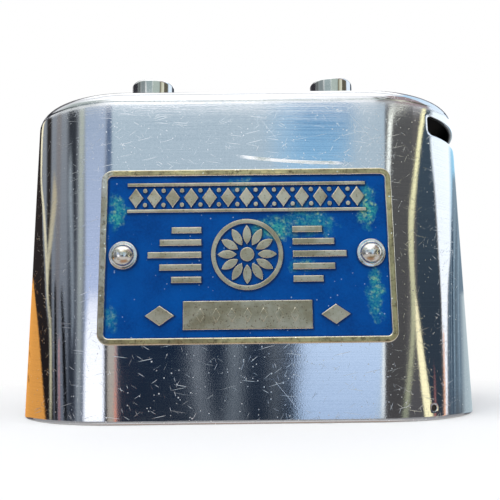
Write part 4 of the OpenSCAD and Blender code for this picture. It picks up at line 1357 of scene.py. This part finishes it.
def level_card(name, x_range, y_range, z, near, far, soft=0.1, ends=0.1):
    """A card that lies level at a height."""
    x, y = np.meshgrid(np.linspace(*x_range, LEVEL_STEPS), np.linspace(*y_range, LEVEL_STEPS))
    glowing(name, np.stack([x, y, 0 * x + z], 2), near, far, soft, ends)


# %% [markdown]
# First come the walls of a plain grey room, its bright ceiling, the table, and what stood behind the
# bank. Then the front of the room, drawn over the picture: a row is the picture's y and a column its x.

# %% The room
TOP, MID, LOW = 99, 318, 440
WHITE, GREY = (278, 280, 284), (172, 190, 204)
panel("lower_wall", (-180, 180), (120, -121), (104, 110, 120), (150, 150, 152), 0, 0)
level_card("table", (-460, 460), (-460, 460), -120, (182, 182, 184), (170, 168, 168), 0, 0)
level_card("table_wood", (-150, 150), (-205, -40), -119, (146, 116, 92), (144, 110, 84), 0.3, 0.3)
level_card("table_cloth", (-300, 300), (-440, -170), -112, (206, 208, 212), (170, 160, 152), 0.1, 0.25)
panel("back_room", (112, 250), (285, -119), (86, 84, 92), (78, 80, 88), 0.03, 0.03)
panel("back_window", (168, 186), (240, 40), WHITE, (190, 205, 225), 0.2)
panel("back_curtain", (128, 146), (270, -60), (150, 158, 170), (110, 118, 130), 0.3)
panel("back_door", (202, 224), (230, -110), (168, 160, 148), (120, 108, 96), 0.15)
panel("back_glow", (120, 240), (560, 282), (236, 242, 252), WHITE)
panel("ceiling_light", (-100, 34), (700, 224), WHITE, WHITE, 0.3, 0.02)
level_card("ceiling_front", (-430, 430), (-430, -60), 690, WHITE, WHITE)
level_card("ceiling_back", (-430, 430), (60, 430), 690, WHITE, WHITE)
panel("upper_left", (-178, -112), (560, 262), (112, 112, 116), (70, 68, 72), 0.2, 0.15)
panel("upper_left_side", (-112, -26), (560, 205), (196, 206, 204), (132, 140, 140), 0.3, 0.25)
panel("upper_right", (24, 52), (430, 236), (120, 118, 116), (74, 70, 68), 0.2, 0.2)
panel("upper_blue", (70, 132), (700, 236), (176, 214, 242), (226, 240, 256), 0.1, 0.02)
panel("upper_pink", (44, 91), (640, 236), (158, 142, 144), (150, 136, 140), 0.12, 0.02)
panel("upper_rim", (129, 158), (640, 230), (132, 122, 128), (104, 116, 132), 0.1, 0.02)
panel("upper_arch", (46, 70), (318, 258), (262, 264, 250), (262, 264, 250), 0.25, 0.2)
print(len(card_names), "cards for the room")

# %% The front of the room
ALL = (TOP, LOW)
card("front_wall", ALL, (106, 106), (391, 387), GREY, GREY, 0.02, 0.02, cols=90)
card("left_wall", ALL, (20, 10), (109, 109), (134, 140, 148), (100, 108, 122), 0.02, cols=240)
card("right_wall", (TOP, 300, LOW), (387, 384, 382), (478, 485, 490), (96, 94, 94), (78, 78, 82), 0.02,
     cols=240)

# %% Above the plate
card("blue_tall", ALL, (264, 280), (352, 350), (146, 182, 212), (180, 216, 242), 0.25, 0.02)
card("blue_deep", (TOP, 175), (296, 292), (353, 350), (102, 146, 186), (140, 188, 224), 0.06, 0.1)
card("dark_stripe", ALL, (105.5, 105.5), (112.3, 112), (86, 106, 136), (92, 108, 138), 0.25)

# %% Below the plate
FOOT = (MID, LOW)
card("dark_board", FOOT, (115.2, 115.2), (300, 299), (18, 34, 56), (28, 38, 52), 0.01, 0.02, cols=60)
SMEAR = (MID, 385, LOW)
card("pale_smear_a", SMEAR, (184, 190, 198), (198, 207, 218), (156, 164, 174), (104, 112, 122), 0.42)
card("pale_smear_b", SMEAR, (226, 225, 216), (248, 245, 248), (134, 144, 154), (96, 104, 114), 0.42)
card("pale_smear_c", FOOT, (270, 268), (283, 281), (120, 126, 132), (78, 86, 96), 0.4)
card("blue_low", SMEAR, (296, 294, 300), (386, 384, 382), (192, 214, 244), (160, 184, 218), 0.05, 0.02,
     cols=60)

# %% The left-hand end
card("left_lilac", (TOP, 250, LOW), (83, 84, 82), (108, 105, 106), (156, 172, 194), (186, 200, 240), 0.12)
card("left_white", (292, 340, LOW), (88, 84, 82), (98, 105, 105), (226, 232, 250), WHITE, 0.14, 0.1)
card("left_band", ALL, (78, 75), (86, 81), (176, 184, 176), (128, 136, 148), 0.35)
card("left_dusk", ALL, (66, 66), (80, 76), (52, 56, 62), (44, 50, 62), 0.3)
card("left_smoke", (140, 200, 300, 360), (69, 67, 70, 71), (72, 74, 75, 73),
     (146, 156, 164), (118, 128, 142), 0.4, 0.2)
card("left_slate", ALL, (56, 52), (63, 58), (132, 130, 132), (92, 96, 108), 0.35)
card("left_ink_a", (276, 340, LOW), (54, 54, 55), (56, 57, 58), (14, 15, 18), (12, 13, 17), 0.15, 0.1)
card("left_ink_b", (282, 350, LOW), (60, 62, 64), (62, 66, 68), (14, 15, 18), (12, 13, 17), 0.15, 0.1)
card("left_brown", (TOP, 250, LOW), (46, 46, 50), (53, 52, 55), (48, 46, 46), (30, 28, 30), 0.3)
card("left_brass", (168, 199, 235, 265, 300), (53, 51, 48, 45.5, 46), (55, 58, 54, 50, 48), (170, 160, 138),
     (196, 192, 168), 0.35, 0.15)
card("left_rim", (TOP, 215, 265, 300, 340, LOW), (20, 20, 20, 20.6, 24, 34), (43, 42.5, 44.5, 46, 49, 50),
     (44, 40, 40), (30, 26, 28), 0.02)
card("left_cream", (TOP, 131, 161, 185, 215, 265, 300, 335, LOW),
     (45, 41.5, 40.5, 40.5, 42.5, 45, 46.5, 49, 49),
     (47, 43.5, 42.5, 42.5, 45.5, 48, 49, 52, 52), (250, 242, 212), (176, 172, 146), 0.3)
card("left_wood", (276, 340, LOW), (20, 20, 14), (33, 39.5, 47.5), (214, 150, 74), (210, 148, 76), 0.04)
card("left_pink", (336, LOW), (58, 58), (60, 60.5), (180, 146, 150), (150, 100, 104), 0.35)
card("left_line", FOOT, (104, 104), (108, 108), (16, 18, 24), (16, 18, 24), 0.2)
card("left_beige", FOOT, (107, 107), (115.8, 115.2), (176, 172, 166), (166, 156, 146), 0.08)
card("left_coral", FOOT, (115.1, 113.4), (115.9, 116), (172, 124, 122), (232, 140, 112), 0.25)

# %% The right-hand end
card("right_brown", ALL, (384, 386), (414, 404), (87, 88, 89), (66, 65, 67), 0.06)
card("right_line", (101, 112, 132, 168, 300, LOW), (402.5, 390.5, 387.6, 386.6, 382.8, 382),
     (414, 396, 392, 390.8, 385.7, 385), (276, 280, 266), (226, 234, 240), 0.1)
card("right_night", (TOP, 130, 190, 250, 300, LOW), (424, 419, 416, 416, 417, 424),
     (444, 436, 435, 438, 441, 444), (66, 82, 96), (44, 54, 66), 0.06)
card("right_ivory", (TOP, 128, 164, 200, 216, 250, 300, 340, 400, LOW),
     (424, 419, 414.5, 410, 408.5, 408.5, 411, 410, 404, 400),
     (428, 423.5, 419, 415.5, 414.5, 414, 416, 415, 410, 406), (274, 268, 214), (122, 130, 116), 0.14)
card("right_wedge", (294, 350, LOW), (415, 417, 427), (416, 424, 437), (262, 252, 208), (258, 250, 206), 0.12)
card("right_window", (TOP, 140, 190, 250, 300, LOW), (430, 429, 434, 438, 441, 446),
     (476, 456, 455, 452, 448, 448), (244, 256, 266), (250, 254, 262), 0.1)
card("right_sky", (126, 190, 250), (447, 449, 449), (460, 460, 464),
     (150, 205, 236), (120, 158, 186), 0.3, 0.2)
card("right_steel", (170, 200, 250, 300, LOW), (452, 451.5, 450, 447.5, 448), (480, 480, 485, 490, 494),
     (124, 144, 160), (96, 114, 130), 0.04, 0.1)
card("right_deep", (214, 250, 300, LOW), (451.5, 450.5, 449, 449), (453, 454, 455, 457),
     (52, 70, 88), (58, 74, 92), 0.35, 0.1)
for k, (shift, tone) in enumerate(((3, 150), (5.5, 176), (7.5, 84), (10, 168))):
    streak = (0.86 * tone, tone, 1.1 * tone)
    card(f"right_streak_{k}", (190, 300, LOW), (449 + shift, 448 + shift, 448 + 1.2 * shift),
         (449.8 + shift, 449 + shift, 449.4 + 1.2 * shift), streak, streak, 0.4, 0.3)
card("right_edge", (290, LOW), (459, 462), (480, 486), (170, 184, 192), (160, 176, 186), 0.2)
card("right_rose", (366, LOW), (434.3, 434), (435, 437.5), (150, 104, 104), (186, 120, 112), 0.35)
card("right_peach", (330, LOW), (443, 444), (444.5, 447), (236, 180, 150), (236, 180, 150), 0.3)

# %% What the two posts show
POST_ROWS = (74, 96)
# A strip is its two edges, as shares of the post's half width, and its colour.
POST_STRIPS = (
    ((-1.0, -0.70), (50, 50, 56)), ((-0.74, -0.60), (98, 104, 106)), ((-0.62, -0.36), (128, 138, 142)),
    ((-0.38, 0.0), (150, 166, 170)), ((-0.05, 0.36), (168, 182, 178)), ((0.32, 0.40), (132, 130, 112)),
    ((0.38, 0.50), (200, 202, 184)), ((0.48, 0.74), (92, 90, 78)), ((0.90, 1.0), (44, 52, 66)))
for side, post_x in zip(("left", "right"), POST_X):
    offset = np.array([post_x, 0, BODY_H + POST_UP]) - eye
    distance = offset @ np.array(AHEAD)
    column, half = FRAME / 2 + FOCAL * (offset @ np.array(RIGHT)) / distance, FOCAL * POST_R / distance
    for k, (shares, colour) in enumerate(POST_STRIPS):
        left, right = ([column + share * half] * 2 for share in shares)
        card(f"{side}_post_{k}", POST_ROWS, left, right, colour, colour, 0.2, 0.02, (post_x, 0.0, POST_R), 8)
print(len(card_names), "cards")
